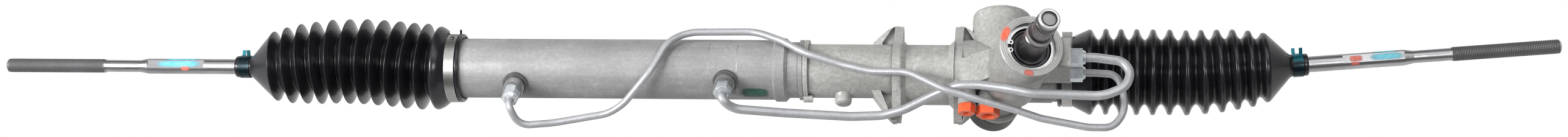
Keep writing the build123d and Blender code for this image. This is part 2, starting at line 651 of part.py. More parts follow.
def pinion():
    """Pinion with a journal below and, above its teeth, a neck and a cup for the valve sleeve."""
    foot_z = LOWER_BEARING_Z + FIT
    root = PITCH_R - RACK_ADDENDUM - ROOT_CLEARANCE
    shaft = lathe(
        [(foot_z, 0), (foot_z, PINION_JOURNAL_R), (-GEAR_HALF, PINION_JOURNAL_R), (-GEAR_HALF, root),
         (GEAR_HALF, root), (GEAR_HALF, PINION_NECK_R), (CUP_Z, PINION_NECK_R), (CUP_Z, CUP_R),
         (CUP_Z + CUP_HEIGHT, CUP_R), (CUP_Z + CUP_HEIGHT, 0)], Axis.Z)
    shaft += extrude(pinion_section(), GEAR_HALF, both=True)
    depth = TORSION_SEAT_DEPTH + GAP
    shaft -= Pos(0, 0, CUP_Z + CUP_HEIGHT - depth) * Cylinder(TORSION_R + FIT, depth, align=BOTTOM)
    return PINION_FRAME * shaft


def sleeve_ring_heights():
    """Height of each sealing ring's middle on the valve sleeve."""
    pitch = SLEEVE_LENGTH / SLEEVE_GROOVES
    return [SLEEVE_Z + (groove + 0.5) * pitch for groove in range(SLEEVE_GROOVES)]


def valve_sleeve():
    """Valve sleeve over the pinion's cup, grooved for its rings and drilled between them."""
    outer = VALVE_BORE_R - SLEEVE_GAP
    sleeve = ring(SLEEVE_Z, SLEEVE_Z + SLEEVE_LENGTH, outer, JOURNAL_R + FIT, Axis.Z)
    sleeve -= ring(SLEEVE_Z, CUP_Z + CUP_HEIGHT + FIT, CUP_R + FIT, 0, Axis.Z)
    heights = sleeve_ring_heights()
    for height in heights:
        half = SLEEVE_RING_WIDTH / 2
        sleeve -= ring(height - half, height + half, VALVE_BORE_R, outer - SLEEVE_GROOVE_DEPTH, Axis.Z)
    for lower, upper in zip(heights, heights[1:]):
        drilling = Rot(0, 90, 0) * Cylinder(SLEEVE_PORT_R, 2 * VALVE_BORE_R)
        sleeve -= Pos(0, 0, (lower + upper) / 2) * drilling
    return PINION_FRAME * sleeve


def sleeve_rings():
    """Sealing rings in the sleeve's grooves, running in the valve bore."""
    half = SLEEVE_RING_WIDTH / 2 - FIT
    inner = VALVE_BORE_R - SLEEVE_GAP - SLEEVE_GROOVE_DEPTH + FIT
    return [PINION_FRAME * ring(height - half, height + half, VALVE_BORE_R - FIT, inner, Axis.Z)
            for height in sleeve_ring_heights()]


def input_shaft():
    """Input shaft: valve rotor inside the sleeve, seal journal, spline, groove and end ring."""
    start = CUP_Z + CUP_HEIGHT + GAP
    spline_start = JOURNAL_TOP_Z + (JOURNAL_R - SPLINE_R)
    ring_start = SPLINE_TOP_Z + GROOVE_WIDTH
    shaft = lathe(
        [(start, 0), (start, JOURNAL_R), (JOURNAL_TOP_Z, JOURNAL_R), (spline_start, SPLINE_R),
         (SPLINE_TOP_Z, SPLINE_R), (SPLINE_TOP_Z, GROOVE_R), (ring_start, GROOVE_R),
         (ring_start, END_RING_R), (SHAFT_TOP_Z - SHAFT_BEVEL, END_RING_R),
         (SHAFT_TOP_Z, END_RING_R - SHAFT_BEVEL),
         (SHAFT_TOP_Z, 0)], Axis.Z)
    shaft -= ring(start, SHAFT_TOP_Z, TORSION_R + GAP, 0, Axis.Z)
    shaft -= ring(SHAFT_TOP_Z - TORSION_HEAD_LENGTH, SHAFT_TOP_Z, TORSION_HEAD_R + FIT, 0, Axis.Z)
    return PINION_FRAME * shaft


def torsion_bar():
    """Torsion bar from the pinion's cup to a head in the input shaft's end."""
    start = CUP_Z + CUP_HEIGHT - TORSION_SEAT_DEPTH
    head_z = SHAFT_TOP_Z - TORSION_HEAD_LENGTH + FIT
    waist_low = CUP_Z + CUP_HEIGHT + GAP
    bar = lathe(
        [(start, 0), (start, TORSION_R), (waist_low, TORSION_R), (waist_low + TORSION_R, TORSION_WAIST_R),
         (head_z - TORSION_R, TORSION_WAIST_R), (head_z, TORSION_R), (head_z, TORSION_HEAD_R),
         (SHAFT_TOP_Z - TORSION_HEAD_DEPTH, TORSION_HEAD_R), (SHAFT_TOP_Z - TORSION_HEAD_DEPTH, 0)],
        Axis.Z)
    return PINION_FRAME * bar


def bearing(start, outer, inner):
    """Ball bearing as its two races with the balls' track filled between them."""
    race = RACE_SHARE * (outer - inner)
    rings = ring(start + FIT, start + BEARING_WIDTH - FIT, outer - FIT, inner + FIT, Axis.Z)
    recess = ring(start, start + RACE_RECESS, outer - race, inner + race, Axis.Z)
    upper = Pos(0, 0, BEARING_WIDTH - RACE_RECESS) * recess
    return PINION_FRAME * (rings - recess - upper)


def pinion_cap():
    """Cup-shaped cap over the housing's lower end, with a plug inside and a hexagon below."""
    floor_z = LOWER_BODY_Z - CAP_FLOOR
    cap = lathe(
        [(floor_z, 0), (floor_z, CAP_R - CAP_BEVEL), (floor_z + CAP_BEVEL, CAP_R),
         (CAP_TOP_Z - CAP_BEVEL, CAP_R), (CAP_TOP_Z, CAP_R - CAP_BEVEL), (CAP_TOP_Z, 0)], Axis.Z)
    cap -= ring(LOWER_BODY_Z, CAP_TOP_Z, LOWER_BODY_R + FIT, 0, Axis.Z)
    cap += ring(LOWER_BODY_Z, LOWER_BEARING_Z, CAP_THREAD_R - FIT, 0, Axis.Z)
    cap += Pos(0, 0, floor_z - CAP_HEX_HEIGHT) * hexagon(CAP_FLATS, CAP_HEX_HEIGHT)
    return PINION_FRAME * cap


def valve_seal():
    """Seal round the input shaft, dished so that its lip stands in a hollow."""
    top = SEAL_FLOOR_Z + SEAL_WIDTH
    seal = ring(SEAL_FLOOR_Z, top, SEAL_BORE_R - FIT, JOURNAL_R + FIT, Axis.Z)
    dish = ring(top - SEAL_DISH, top, SEAL_BORE_R - SEAL_SHELL, JOURNAL_R + SEAL_LIP, Axis.Z)
    return PINION_FRAME * (seal - dish)


def snap_ring():
    """Snap ring over the seal, with its gap and the two eyes that close it."""
    start = SNAP_RING_Z + FIT / 2
    outer = SEAL_BORE_R + SNAP_DEPTH - FIT
    inner = SEAL_BORE_R - 2 * SNAP_DEPTH
    snap = ring(start, start + SNAP_RING_THICK, outer, inner, Axis.Z)
    for way in (-1, 1):
        eye = Cylinder(SNAP_EYE_R, SNAP_RING_THICK, align=BOTTOM) - Cylinder(
            SNAP_EYE_R / 2, SNAP_RING_THICK, align=BOTTOM)
        snap += Pos(-inner + SNAP_EYE_R / 2, way * SNAP_EYE_SPREAD, start) * eye
    gap = Pos(-SEAL_BORE_R, 0, start) * Box(4 * SNAP_EYE_R, SNAP_EYE_SPREAD, 4 * SNAP_RING_THICK)
    return PINION_FRAME * (snap - gap)


# ---------------------------------------------------------------- unions, nuts and pipes
def union(seat, pipe_r):
    """Adaptor screwed into the tube over a washer, bored for the pipe."""
    start = TUBE_R - UNION_SINK
    body = seat * Pos(0, 0, start) * Cylinder(UNION_R, UNION_SINK + UNION_LENGTH, align=BOTTOM)
    washer = Cylinder(UNION_WASHER_R, UNION_SINK + UNION_WASHER_THICK, align=BOTTOM)
    body += seat * Pos(0, 0, start) * washer
    body -= ring(LEFT_END_X, SEAM_X, TUBE_R + FIT)
    return body - seat * Cylinder(pipe_r + FIT, 2 * TUBE_R + UNION_LENGTH, align=BOTTOM)


def tube_nut_seat(seat):
    """Frame on a union's outer end, looking out along it."""
    return seat * Pos(0, 0, TUBE_R + UNION_LENGTH)


def flare_nut(seat, pipe_r):
    """Hexagonal pipe nut with a turned nose, standing on a seat and bored for the pipe."""
    nut = hexagon(NUT_FLATS, NUT_LENGTH - NUT_NOSE)
    nose = Cone(NUT_FLATS / 2 - NUT_STEP, pipe_r + NUT_WALL, NUT_NOSE, align=BOTTOM)
    nut += Pos(0, 0, NUT_LENGTH - NUT_NOSE) * nose
    return seat * (nut - Cylinder(pipe_r + FIT, NUT_LENGTH, align=BOTTOM))


def nut_seats():
    """Every pipe nut's seat with its pipe's radius: left pipe's two ends, then the right pipe's."""
    (left_seat, left_r), (right_seat, right_r) = UNION_SEATS
    return (
        (tube_nut_seat(left_seat), left_r), (port_seat(LOWER_PORT), left_r),
        (tube_nut_seat(right_seat), right_r), (port_seat(UPPER_PORT), right_r),
    )


def beside_tube(x, clock, gap):
    """Point at a clock angle round the rack's axis, a gap outside the tube's surface."""
    turn = radians(clock)
    return Vector(x, -(TUBE_R + gap) * cos(turn), (TUBE_R + gap) * sin(turn))


def bent_pipe(points, pipe_r):
    """Pipe along straight runs, with each bend as large as its runs allow up to BEND_R.

    The end runs lie inside nuts, apart from a straight lead out of each nut.
    """
    runs = [after - before for before, after in zip(points, points[1:])]
    room = [BEND_SHARE * run.length for run in runs]
    room[0] = room[-1] = PIPE_LEAD - FIT
    bends = []
    for run_in, run_out, room_in, room_out in zip(runs, runs[1:], room, room[1:]):
        turn = radians(run_in.get_angle(run_out))
        bends.append(min(BEND_R, min(room_in, room_out) / tan(turn / 2)))
    path = FilletPolyline(*points, radius=bends)
    section = Plane(origin=points[0], z_dir=points[1] - points[0]) * Circle(pipe_r)
    return sweep(section, path=path)


def pipe_left():
    """Pipe from the left union, over the tube and past the valve, to the lower port."""
    seat, port = tube_nut_seat(UNION_SEATS[0][0]), port_seat(LOWER_PORT)
    sink = -UNION_LENGTH / 2
    x = LEFT_UNION_X
    points = [point_above(seat, sink), point_above(seat, NUT_LENGTH + PIPE_LEAD)]
    points += [beside_tube(x + along, clock, gap) for along, clock, gap in (
        (8, 19, 41), (38, 15, 34), (88, 19, 26), (102, 28, 21), (126, 65, 12), (140, 115, 8),
        (157, 137, 9), (218, 140, 9))]
    points += [beside_tube(SEAM_X + along, clock, gap) for along, clock, gap in (
        (-19, 120, 6), (3, 95, 6), (34, 78, 5), (62, 67, 10))]
    points += [beside_tube(along, clock, gap) for along, clock, gap in ((-16, 67, 18), (18, 52, 33))]
    points += [beside_tube(PINION_X + along, clock, gap) for along, clock, gap in (
        (11, 40, 44), (34, 36, 50), (75, 33, 57), (96, 33, 57), (106, 40, 47), (105, 52, 36),
        (99, 66, 30))]
    points += [point_above(port, NUT_LENGTH + PIPE_LEAD), point_above(port, sink)]
    return bent_pipe(points, PIPE_LEFT_R)


def pipe_right():
    """Pipe from the right union, along the tube and over the left pipe's port, to the upper port."""
    seat, port = tube_nut_seat(UNION_SEATS[1][0]), port_seat(UPPER_PORT)
    sink = -UNION_LENGTH / 2
    points = [point_above(seat, sink), point_above(seat, NUT_LENGTH + PIPE_LEAD)]
    points += [beside_tube(RIGHT_UNION_X + along, clock, gap) for along, clock, gap in (
        (10, 32, 32), (55, 22, 26), (113, 16, 25), (142, 18, 25))]
    points += [beside_tube(along, clock, gap) for along, clock, gap in (
        (-19, 26, 24), (7, 42, 21), (29, 55, 27))]
    points += [beside_tube(PINION_X + along, clock, gap) for along, clock, gap in (
        (-20, 58, 41), (4, 58, 56), (27, 56, 63), (88, 55, 65), (107, 60, 61), (111, 68, 54),
        (104, 75, 50))]
    points += [point_above(port, NUT_LENGTH + PIPE_LEAD), point_above(port, sink)]
    return bent_pipe(points, PIPE_RIGHT_R)


def port_plugs():
    """Plastic shipping plugs in the two hose ports, hollow from outside."""
    plugs = []
    for port in HOSE_PORTS:
        stem_r = port[2] - FIT
        plug = hexagon(2 * (stem_r + PLUG_HEAD_RIM), PLUG_HEAD_LENGTH)
        plug += Pos(0, 0, -PLUG_STEM_LENGTH) * Cylinder(stem_r, PLUG_STEM_LENGTH, align=BOTTOM)
        floor = PLUG_WALL - PLUG_STEM_LENGTH
        plug -= Pos(0, 0, floor) * Cylinder(stem_r - PLUG_WALL, PLUG_HEAD_LENGTH - floor, align=BOTTOM)
        plugs.append(hose_seat(port) * plug)
    return plugs


# ---------------------------------------------------------------- boots
def crest_r(fold):
    """Radius of a fold's crest, counted from the boot's big end."""
    return RIDGE_R - RIDGE_SHRINK * exp(-(FOLDS - 1 - fold) / RIDGE_FADE)


def valley_r(fold):
    """Radius of the valley before a fold."""
    return VALLEY_R - VALLEY_SHRINK * exp(-(FOLDS - fold) / RIDGE_FADE)


def bellows(start, folds, inset, tail):
    """Outline points of some folds from one place, an inset under the outer skin."""
    flat = CREST_FLAT / 2 if inset == 0 else 0
    points = []
    for fold in folds:
        valley_x = start + (fold - folds[0]) * FOLD_PITCH
        crest_x = valley_x + FOLD_PITCH / 2
        points.append((valley_x, valley_r(fold) - inset))
        points.append((crest_x - flat, crest_r(fold) - inset))
        if flat:
            points.append((crest_x + flat, crest_r(fold)))
    return points + tail(inset)


def boot(side, frame, swing):
    """Rubber boot from the housing's end to the tie rod, bent at the ball joint by a swing."""
    lip = -END_REACH - CUFF_OVERLAP - side * RACK_SHIFT
    cuff_end = lip + CUFF_LENGTH
    near = [fold for fold in range(FOLDS) if cuff_end + fold * FOLD_PITCH < 0]
    far = list(range(len(near), FOLDS))
    bend_x = cuff_end + len(near) * FOLD_PITCH
    bend_r = valley_r(len(near))
    neck_r = SHANK_R + GAP

    def to_bend(inset):
        return [(bend_x, bend_r - inset)]

    def to_neck(inset):
        radius = neck_r + BOOT_WALL - inset
        return [(NECK_START, radius), (BOOT_REACH, radius)]

    outside = [(lip, TUBE_R + CUFF_THICK), (cuff_end, TUBE_R + CUFF_THICK)]
    outside += bellows(cuff_end, near, 0, to_bend)[1:]
    inside = [(lip, TUBE_R + FIT), (cuff_end, TUBE_R + FIT)]
    inside += bellows(cuff_end, near, BOOT_WALL, to_bend)[1:]
    shell = lathe(outside + inside[::-1])
    outside = bellows(bend_x, far, 0, to_neck)
    inside = bellows(bend_x, far, BOOT_WALL, to_neck)
    shell += Rot(0, 0, swing) * lathe(outside + inside[::-1])
    if swing:
        shell += Rot(0, 0, swing / 2) * hinge_band(bend_x, bend_r, swing)
    return frame * shell


def hinge_band(bend_x, bend_r, swing):
    """Part of a ball's skin that closes the wedge between the two halves of a bent boot."""
    reach = hypot(bend_x, bend_r)
    middle = atan2(bend_r, bend_x)
    half = radians(swing)
    corners = [(reach, middle + half), (reach, middle - half),
               (reach - BOOT_WALL, middle - half), (reach - BOOT_WALL, middle + half)]
    return lathe([polar(radius, angle) for radius, angle in corners])


def boot_clamp(side):
    """Steel band round one boot's cuff, folded up into an ear."""
    inner = TUBE_R + CUFF_THICK + FIT
    start = MID_X + side * (HALF_HOUSING - CLAMP_INSET) - CLAMP_WIDTH / 2
    ear_foot = (Align.CENTER, Align.MIN)
    lean = Rot(0, 0, EAR_LEAN)
    outline = Circle(inner + CLAMP_THICK)
    outline += lean * Rectangle(EAR_WIDTH, inner + EAR_HEIGHT, align=ear_foot)
    outline -= Circle(inner)
    hollow_width, hollow_top = EAR_WIDTH - 2 * CLAMP_THICK, inner + EAR_HEIGHT - CLAMP_THICK
    outline -= lean * Rectangle(hollow_width, hollow_top, align=ear_foot)
    plane = Plane(origin=(start, 0, 0), x_dir=(0, 1, 0), z_dir=(1, 0, 0))
    return extrude(plane * outline, CLAMP_WIDTH)


def boot_clip(side, frame, swing):
    """Flat spring band round one boot's neck, with two tangs to pinch it open."""
    inner = SHANK_R + 2 * GAP + BOOT_WALL
    start = BOOT_REACH - CLIP_INSET - CLIP_WIDTH
    clip = ring(start, start + CLIP_WIDTH, inner + CLIP_THICK, inner)
    for way in (-1, 1):
        tang = Box(TANG_WIDTH, 2 * CLIP_THICK, inner + TANG_LENGTH, align=BOTTOM)
        place = Pos(start + CLIP_WIDTH / 2 + way * (CLIP_WIDTH - TANG_WIDTH) / 2, 0, 0)
        clip += place * Rot(side * EAR_LEAN + way * TANG_SPREAD, 0, 0) * tang
    clip -= ring(start, start + CLIP_WIDTH, inner)
    return frame * Rot(0, 0, swing) * clip


# ---------------------------------------------------------------- inner ball joints and tie rods
def rod_socket(frame):
    """Steel socket on the rack's end: a stud, a body round the seat and an open coned mouth."""
    cavity = BALL_R + SEAT_WALL + 2 * FIT
    mouth_x = cavity * cos(radians(MOUTH_ANGLE))
    mouth_r = cavity * sin(radians(MOUTH_ANGLE))
    flare = mouth_r + (SOCKET_LIP - mouth_x) * tan(radians(MOUTH_ANGLE))
    stud_x = -SOCKET_BACK - WASHER_THICK - STUD_LENGTH
    body = lathe(
        [(stud_x, 0), (stud_x, STUD_R), (-SOCKET_BACK, STUD_R), (-SOCKET_BACK, SOCKET_R), (0, SOCKET_R),
         (SOCKET_LIP, flare + LIP_WALL),
         (SOCKET_LIP, flare), (mouth_x, mouth_r), (mouth_x, 0)])
    return frame * (body - Sphere(cavity))


def ball_seat(frame):
    """Plastic seat between the ball and the socket, open at the socket's mouth."""
    seat = Sphere(BALL_R + FIT + SEAT_WALL) - Sphere(BALL_R + FIT)
    reach = 2 * BALL_R
    mouth = lathe([(0, 0), (reach, reach * tan(radians(MOUTH_ANGLE))), (reach, 0)])
    return frame * (seat - mouth)


def lock_washer(frame):
    """Washer between the socket and the rack's end."""
    start = -SOCKET_BACK - WASHER_THICK
    return frame * ring(start + FIT, -SOCKET_BACK - FIT, WASHER_R, STUD_R + FIT)


def tie_rod(frame, swing):
    """Ball, waisted neck, shank, wrench flats, thin stem and threaded end in one forging."""
    flats_end = FLATS_START + FLATS_LENGTH
    thread_start = ROD_LENGTH - THREAD_LENGTH
    rod = lathe(
        [(0, 0), (0, ROD_NECK_R), (ROD_NECK_END, ROD_NECK_R), (SHANK_START, SHANK_R), (flats_end, SHANK_R),
         (flats_end + STEM_TAPER, THIN_R), (thread_start, THIN_R), (thread_start, THREAD_R),
         (ROD_LENGTH - ROD_CHAMFER, THREAD_R), (ROD_LENGTH, THREAD_R - ROD_CHAMFER), (ROD_LENGTH, 0)])
    flat = Box(FLATS_LENGTH, 2 * SHANK_R, SHANK_R, align=BOTTOM)
    for turn in (0, 180):
        rod -= Rot(turn, 0, 0) * Pos((FLATS_START + flats_end) / 2, 0, FLATS_ACROSS / 2) * flat
    return frame * Rot(0, 0, swing) * (rod + Sphere(BALL_R))


# ---------------------------------------------------------------- the whole rack
def main():
    save("rack_tube", rack_tube())
    save("gear_housing", gear_housing())
    save("left_seal_carrier", seal_carrier(LEFT_CARRIER_X))
    save("left_rod_seal", rod_seal(LEFT_CARRIER_X + SEAL_CARRIER_LENGTH - ROD_SEAL_LENGTH + FIT))
    inner_carrier = seal_carrier(RIGHT_CARRIER_X)
    save("inner_seal_carrier", facing_left(inner_carrier, RIGHT_CARRIER_X, SEAL_CARRIER_LENGTH))
    inner_seal = rod_seal(RIGHT_CARRIER_X)
    save("inner_rod_seal", facing_left(inner_seal, RIGHT_CARRIER_X, ROD_SEAL_LENGTH - FIT))
    save("end_retainer", end_retainer())
    save("rack_bush", rack_bush())
    save("yoke", yoke())
    save("yoke_spring", yoke_spring())
    save("yoke_plug", yoke_plug())
    save("upper_bearing", bearing(VALVE_FLOOR_Z - BEARING_WIDTH, UPPER_BEARING_R, PINION_NECK_R))
    save("lower_bearing", bearing(LOWER_BEARING_Z, LOWER_BEARING_R, PINION_JOURNAL_R))
    save("pinion_cap", pinion_cap())
    save("valve_seal", valve_seal())
    save("snap_ring", snap_ring())
    save("pipe_unions", *[union(seat, pipe_r) for seat, pipe_r in UNION_SEATS])
    save("pipe_nuts", *[flare_nut(seat, pipe_r) for seat, pipe_r in nut_seats()])
    save("pipe_left", pipe_left())
    save("pipe_right", pipe_right())
    save("port_plugs", *port_plugs())
    save("rack_bar", rack_bar())
    save("piston", piston())
    save("piston_ring", piston_ring())
    save("pinion", pinion())
    save("valve_sleeve", valve_sleeve())
    save("sleeve_rings", *sleeve_rings())
    save("input_shaft", input_shaft())
    save("torsion_bar", torsion_bar())
    ends = (("left", -1, LEFT_END_FRAME, LEFT_ROD_SWING), ("right", 1, RIGHT_END_FRAME, RIGHT_ROD_SWING))
    for name, side, frame, swing in ends:
        save(f"{name}_boot", boot(side, frame, swing))
        save(f"{name}_boot_clamp", boot_clamp(side))
        save(f"{name}_boot_clip", boot_clip(side, frame, swing))
        save(f"{name}_rod_socket", rod_socket(frame))
        save(f"{name}_lock_washer", lock_washer(frame))
        save(f"{name}_ball_seat", ball_seat(frame))
        save(f"{name}_tie_rod", tie_rod(frame, swing))


main()
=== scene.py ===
import bpy
import bmesh
import json
from math import atan2, cos, exp, hypot, inf, pi, radians, sin
from mathutils import Matrix, Vector


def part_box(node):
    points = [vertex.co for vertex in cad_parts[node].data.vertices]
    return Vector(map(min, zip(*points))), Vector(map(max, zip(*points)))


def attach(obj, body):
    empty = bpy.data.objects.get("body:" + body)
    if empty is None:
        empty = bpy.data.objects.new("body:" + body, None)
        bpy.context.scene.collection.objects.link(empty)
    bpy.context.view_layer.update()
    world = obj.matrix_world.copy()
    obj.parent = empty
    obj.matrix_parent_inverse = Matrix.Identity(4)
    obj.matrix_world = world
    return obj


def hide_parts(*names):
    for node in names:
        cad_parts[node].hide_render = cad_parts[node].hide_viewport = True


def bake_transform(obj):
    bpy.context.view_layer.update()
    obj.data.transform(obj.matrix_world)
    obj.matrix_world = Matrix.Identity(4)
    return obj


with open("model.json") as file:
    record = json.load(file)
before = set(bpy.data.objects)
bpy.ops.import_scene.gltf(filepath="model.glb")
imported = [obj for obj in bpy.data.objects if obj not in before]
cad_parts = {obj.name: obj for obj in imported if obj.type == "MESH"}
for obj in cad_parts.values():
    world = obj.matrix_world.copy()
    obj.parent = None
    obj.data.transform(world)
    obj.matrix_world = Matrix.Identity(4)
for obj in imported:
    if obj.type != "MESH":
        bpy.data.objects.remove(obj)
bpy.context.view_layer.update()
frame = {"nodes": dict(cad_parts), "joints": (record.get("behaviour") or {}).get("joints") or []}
NODES = frame["nodes"]
JOINTS = {joint["name"]: joint for joint in frame["joints"]}
MM = 0.001


# ---------------------------------------------------------------- shader building blocks, in metres
EDGE_RADIUS = 0.0008
# Reach of the painted shade in a metal's crevices.
CREVICE_SHADE_REACH = 0.005
# Reach of the painted shade between a boot's folds.
FOLD_SHADE_REACH = 0.016
# Heights towards +Y over which a painted glint fades in.
TOP_GLINT_START, TOP_GLINT_END = 0.006, 0.012


def new_material(name):
    mat = bpy.data.materials.new(name)
    mat.use_nodes = True
    tree = mat.node_tree
    tree.nodes.clear()
    out = tree.nodes.new("ShaderNodeOutputMaterial")
    surface = tree.nodes.new("ShaderNodeBsdfPrincipled")
    tree.links.new(surface.outputs["BSDF"], out.inputs["Surface"])
    return mat, tree, surface


def coords(tree, scale=(1, 1, 1)):
    """Object coordinates, stretched by a scale."""
    source = tree.nodes.new("ShaderNodeTexCoord")
    mapping = tree.nodes.new("ShaderNodeMapping")
    mapping.inputs["Scale"].default_value = scale
    tree.links.new(source.outputs["Object"], mapping.inputs["Vector"])
    return mapping.outputs["Vector"]


def noise(tree, vector, scale, detail=4, rough=0.55, distortion=0.0):
    node = tree.nodes.new("ShaderNodeTexNoise")
    node.inputs["Scale"].default_value = scale
    node.inputs["Detail"].default_value = detail
    node.inputs["Roughness"].default_value = rough
    node.inputs["Distortion"].default_value = distortion
    tree.links.new(vector, node.inputs["Vector"])
    return node.outputs["Fac"]


def remap(tree, value, low, high, to_low, to_high):
    """A value that runs from one pair of bounds to the other, and stops at its ends."""
    node = tree.nodes.new("ShaderNodeMapRange")
    node.inputs["From Min"].default_value = low
    node.inputs["From Max"].default_value = high
    node.inputs["To Min"].default_value = to_low
    node.inputs["To Max"].default_value = to_high
    tree.links.new(value, node.inputs["Value"])
    return node.outputs["Result"]


def two_tones(tree, value, dark, light, low=0.3, high=0.7):
    """A colour that runs from dark to light as a value goes from low to high."""
    node = tree.nodes.new("ShaderNodeValToRGB")
    for element, place, colour in zip(node.color_ramp.elements, (low, high), (dark, light)):
        element.position = place
        element.color = (*colour, 1)
    tree.links.new(value, node.inputs["Fac"])
    return node.outputs["Color"]


def mix(tree, share, under, over):
    """A colour socket with a plain colour laid over it by a share."""
    node = tree.nodes.new("ShaderNodeMix")
    node.data_type = "RGBA"
    factor, first, second = [
        [socket for socket in node.inputs if socket.name == name and socket.enabled][0]
        for name in ("Factor", "A", "B")]
    tree.links.new(share, factor)
    tree.links.new(under, first)
    second.default_value = (*over, 1)
    return [socket for socket in node.outputs if socket.enabled][0]


def bump(tree, surface, height, strength, distance):
    """Adds relief on top of what a surface already has."""
    node = tree.nodes.new("ShaderNodeBump")
    node.inputs["Strength"].default_value = strength
    node.inputs["Distance"].default_value = distance
    tree.links.new(height, node.inputs["Height"])
    if surface.inputs["Normal"].is_linked:
        tree.links.new(surface.inputs["Normal"].links[0].from_socket, node.inputs["Normal"])
    tree.links.new(node.outputs["Normal"], surface.inputs["Normal"])


def edge_wear(tree):
    """Share of wear on convex edges, from a small bevel's change of normal."""
    soft = tree.nodes.new("ShaderNodeBevel")
    soft.samples = 4
    soft.inputs["Radius"].default_value = EDGE_RADIUS
    plain = tree.nodes.new("ShaderNodeNewGeometry")
    dot = tree.nodes.new("ShaderNodeVectorMath")
    dot.operation = "DOT_PRODUCT"
    tree.links.new(soft.outputs["Normal"], dot.inputs[0])
    tree.links.new(plain.outputs["Normal"], dot.inputs[1])
    return remap(tree, dot.outputs["Value"], 0.995, 0.80, 0.0, 1.0)


def closed_in(tree, reach, shut, free, most):
    """Share of shade where a piece's own walls close it in: most when shut, none when free."""
    near = tree.nodes.new("ShaderNodeAmbientOcclusion")
    near.samples = 6
    near.only_local = True
    near.inputs["Distance"].default_value = reach
    return remap(tree, near.outputs["AO"], shut, free, most, 0.0)


def shade(colour, factor, lift=0.0):
    return tuple(min(1.0, channel * factor + lift) for channel in colour)


# ---------------------------------------------------------------- kinds of material
def mottled(tree, surface, vector, colour, dark, light, amount):
    """Adds dark pits with relief and pale stains, as a casting has."""
    spots = noise(tree, vector, scale=330, detail=4, rough=0.7)
    colour = mix(tree, remap(tree, spots, 0.36, 0.64, amount, 0.0), colour, shade(dark, 0.45))
    stains = noise(tree, vector, scale=70, detail=6, rough=0.7, distortion=0.6)
    colour = mix(tree, remap(tree, stains, 0.56, 0.70, 0.0, amount), colour, shade(light, 1.4))
    bump(tree, surface, spots, strength=0.3, distance=0.0004)
    return colour


def streaked(tree, surface, stretch, colour, dark):
    """Adds brush lines, drawn out where the stretch is small."""
    lines = noise(tree, coords(tree, stretch), scale=160, detail=3, rough=0.6)
    bump(tree, surface, lines, strength=0.25, distance=0.0001)
    return mix(tree, remap(tree, lines, 0.35, 0.65, 0.0, 0.35), colour, shade(dark, 0.72))


def painted_top_glint(tree, vector, colour, top_glint):
    """Adds a painted glint: a colour laid on what stands out towards +Y."""
    height = tree.nodes.new("ShaderNodeSeparateXYZ")
    tree.links.new(vector, height.inputs[0])
    return mix(tree, remap(tree, height.outputs["Y"], TOP_GLINT_START, TOP_GLINT_END, 0.0, 1.0), colour, top_glint)


def metal(name, dark, light, rough, grain=900, depth=0.02, streak=None, metallic=1.0, blotch=22, mottle=0.0,
          top_glint=None):
    """Metal with blotches in tone, fine grain of a depth in mm, uneven roughness, worn edges and painted
    shade in its crevices.
    """
    mat, tree, surface = new_material(name)
    vector = coords(tree)
    cloud = noise(tree, vector, blotch, detail=5, rough=0.6)
    colour = two_tones(tree, cloud, dark, light)
    if mottle:
        colour = mottled(tree, surface, vector, colour, dark, light, mottle)
    if streak:
        colour = streaked(tree, surface, streak, colour, dark)
    colour = mix(tree, edge_wear(tree), colour, shade(light, 1.25, 0.04))
    # Painted shade: the colour goes near black where the piece's own walls close it in.
    colour = mix(tree, closed_in(tree, CREVICE_SHADE_REACH, 0.35, 0.85, 0.75), colour, shade(dark, 0.12))
    # Painted glint on the side towards +Y.
    if top_glint:
        colour = painted_top_glint(tree, vector, colour, top_glint)
    tree.links.new(colour, surface.inputs["Base Color"])
    surface.inputs["Metallic"].default_value = metallic
    tree.links.new(remap(tree, cloud, 0.3, 0.7, rough + 0.12, rough - 0.04), surface.inputs["Roughness"])
    fine = noise(tree, vector, grain, detail=3, rough=0.6)
    bump(tree, surface, fine, strength=0.35, distance=depth * MM)
    return mat


def rubber(name, dark, light, rough, folds=None):
    """Moulded rubber: near black, satin, with a faint dusty bloom, and painted shade between its folds."""
    mat, tree, surface = new_material(name)
    vector = coords(tree)
    bloom = noise(tree, vector, scale=45, detail=6, rough=0.65)
    colour = two_tones(tree, bloom, dark, light, 0.35, 0.75)
    if folds:
        # Painted shade: the colour darkens to the folds' colour where the rubber's own folds close it in.
        colour = mix(tree, closed_in(tree, FOLD_SHADE_REACH, 0.32, 0.68, 1.0), colour, folds)
    tree.links.new(colour, surface.inputs["Base Color"])
    tree.links.new(remap(tree, bloom, 0.3, 0.7, rough - 0.06, rough + 0.10), surface.inputs["Roughness"])
    surface.inputs["Specular IOR Level"].default_value = 0.4
    fine = noise(tree, vector, scale=1400, detail=2, rough=0.5)
    bump(tree, surface, fine, strength=0.2, distance=0.00003)
    bump(tree, surface, bloom, strength=0.10, distance=0.0001)
    return mat


def plastic(name, dark, light, rough=0.4, scatter=0.05, painted_glow=0.0):
    """Moulded plastic with flow marks, a share of light scattered inside and a painted glow that makes it
    shine though it is no lamp.
    """
    mat, tree, surface = new_material(name)
    vector = coords(tree)
    flow = noise(tree, vector, scale=90, detail=4, rough=0.6, distortion=1.2)
    tree.links.new(two_tones(tree, flow, dark, light), surface.inputs["Base Color"])
    tree.links.new(remap(tree, flow, 0.3, 0.7, rough, rough + 0.12), surface.inputs["Roughness"])
    # Painted glow: the light colour is given off as emission.
    surface.inputs["Emission Color"].default_value = (*light, 1)
    surface.inputs["Emission Strength"].default_value = painted_glow
    surface.inputs["Subsurface Weight"].default_value = scatter
    surface.inputs["Subsurface Scale"].default_value = 0.002
    bump(tree, surface, noise(tree, vector, scale=1100, detail=2), strength=0.2, distance=0.00003)
    return mat


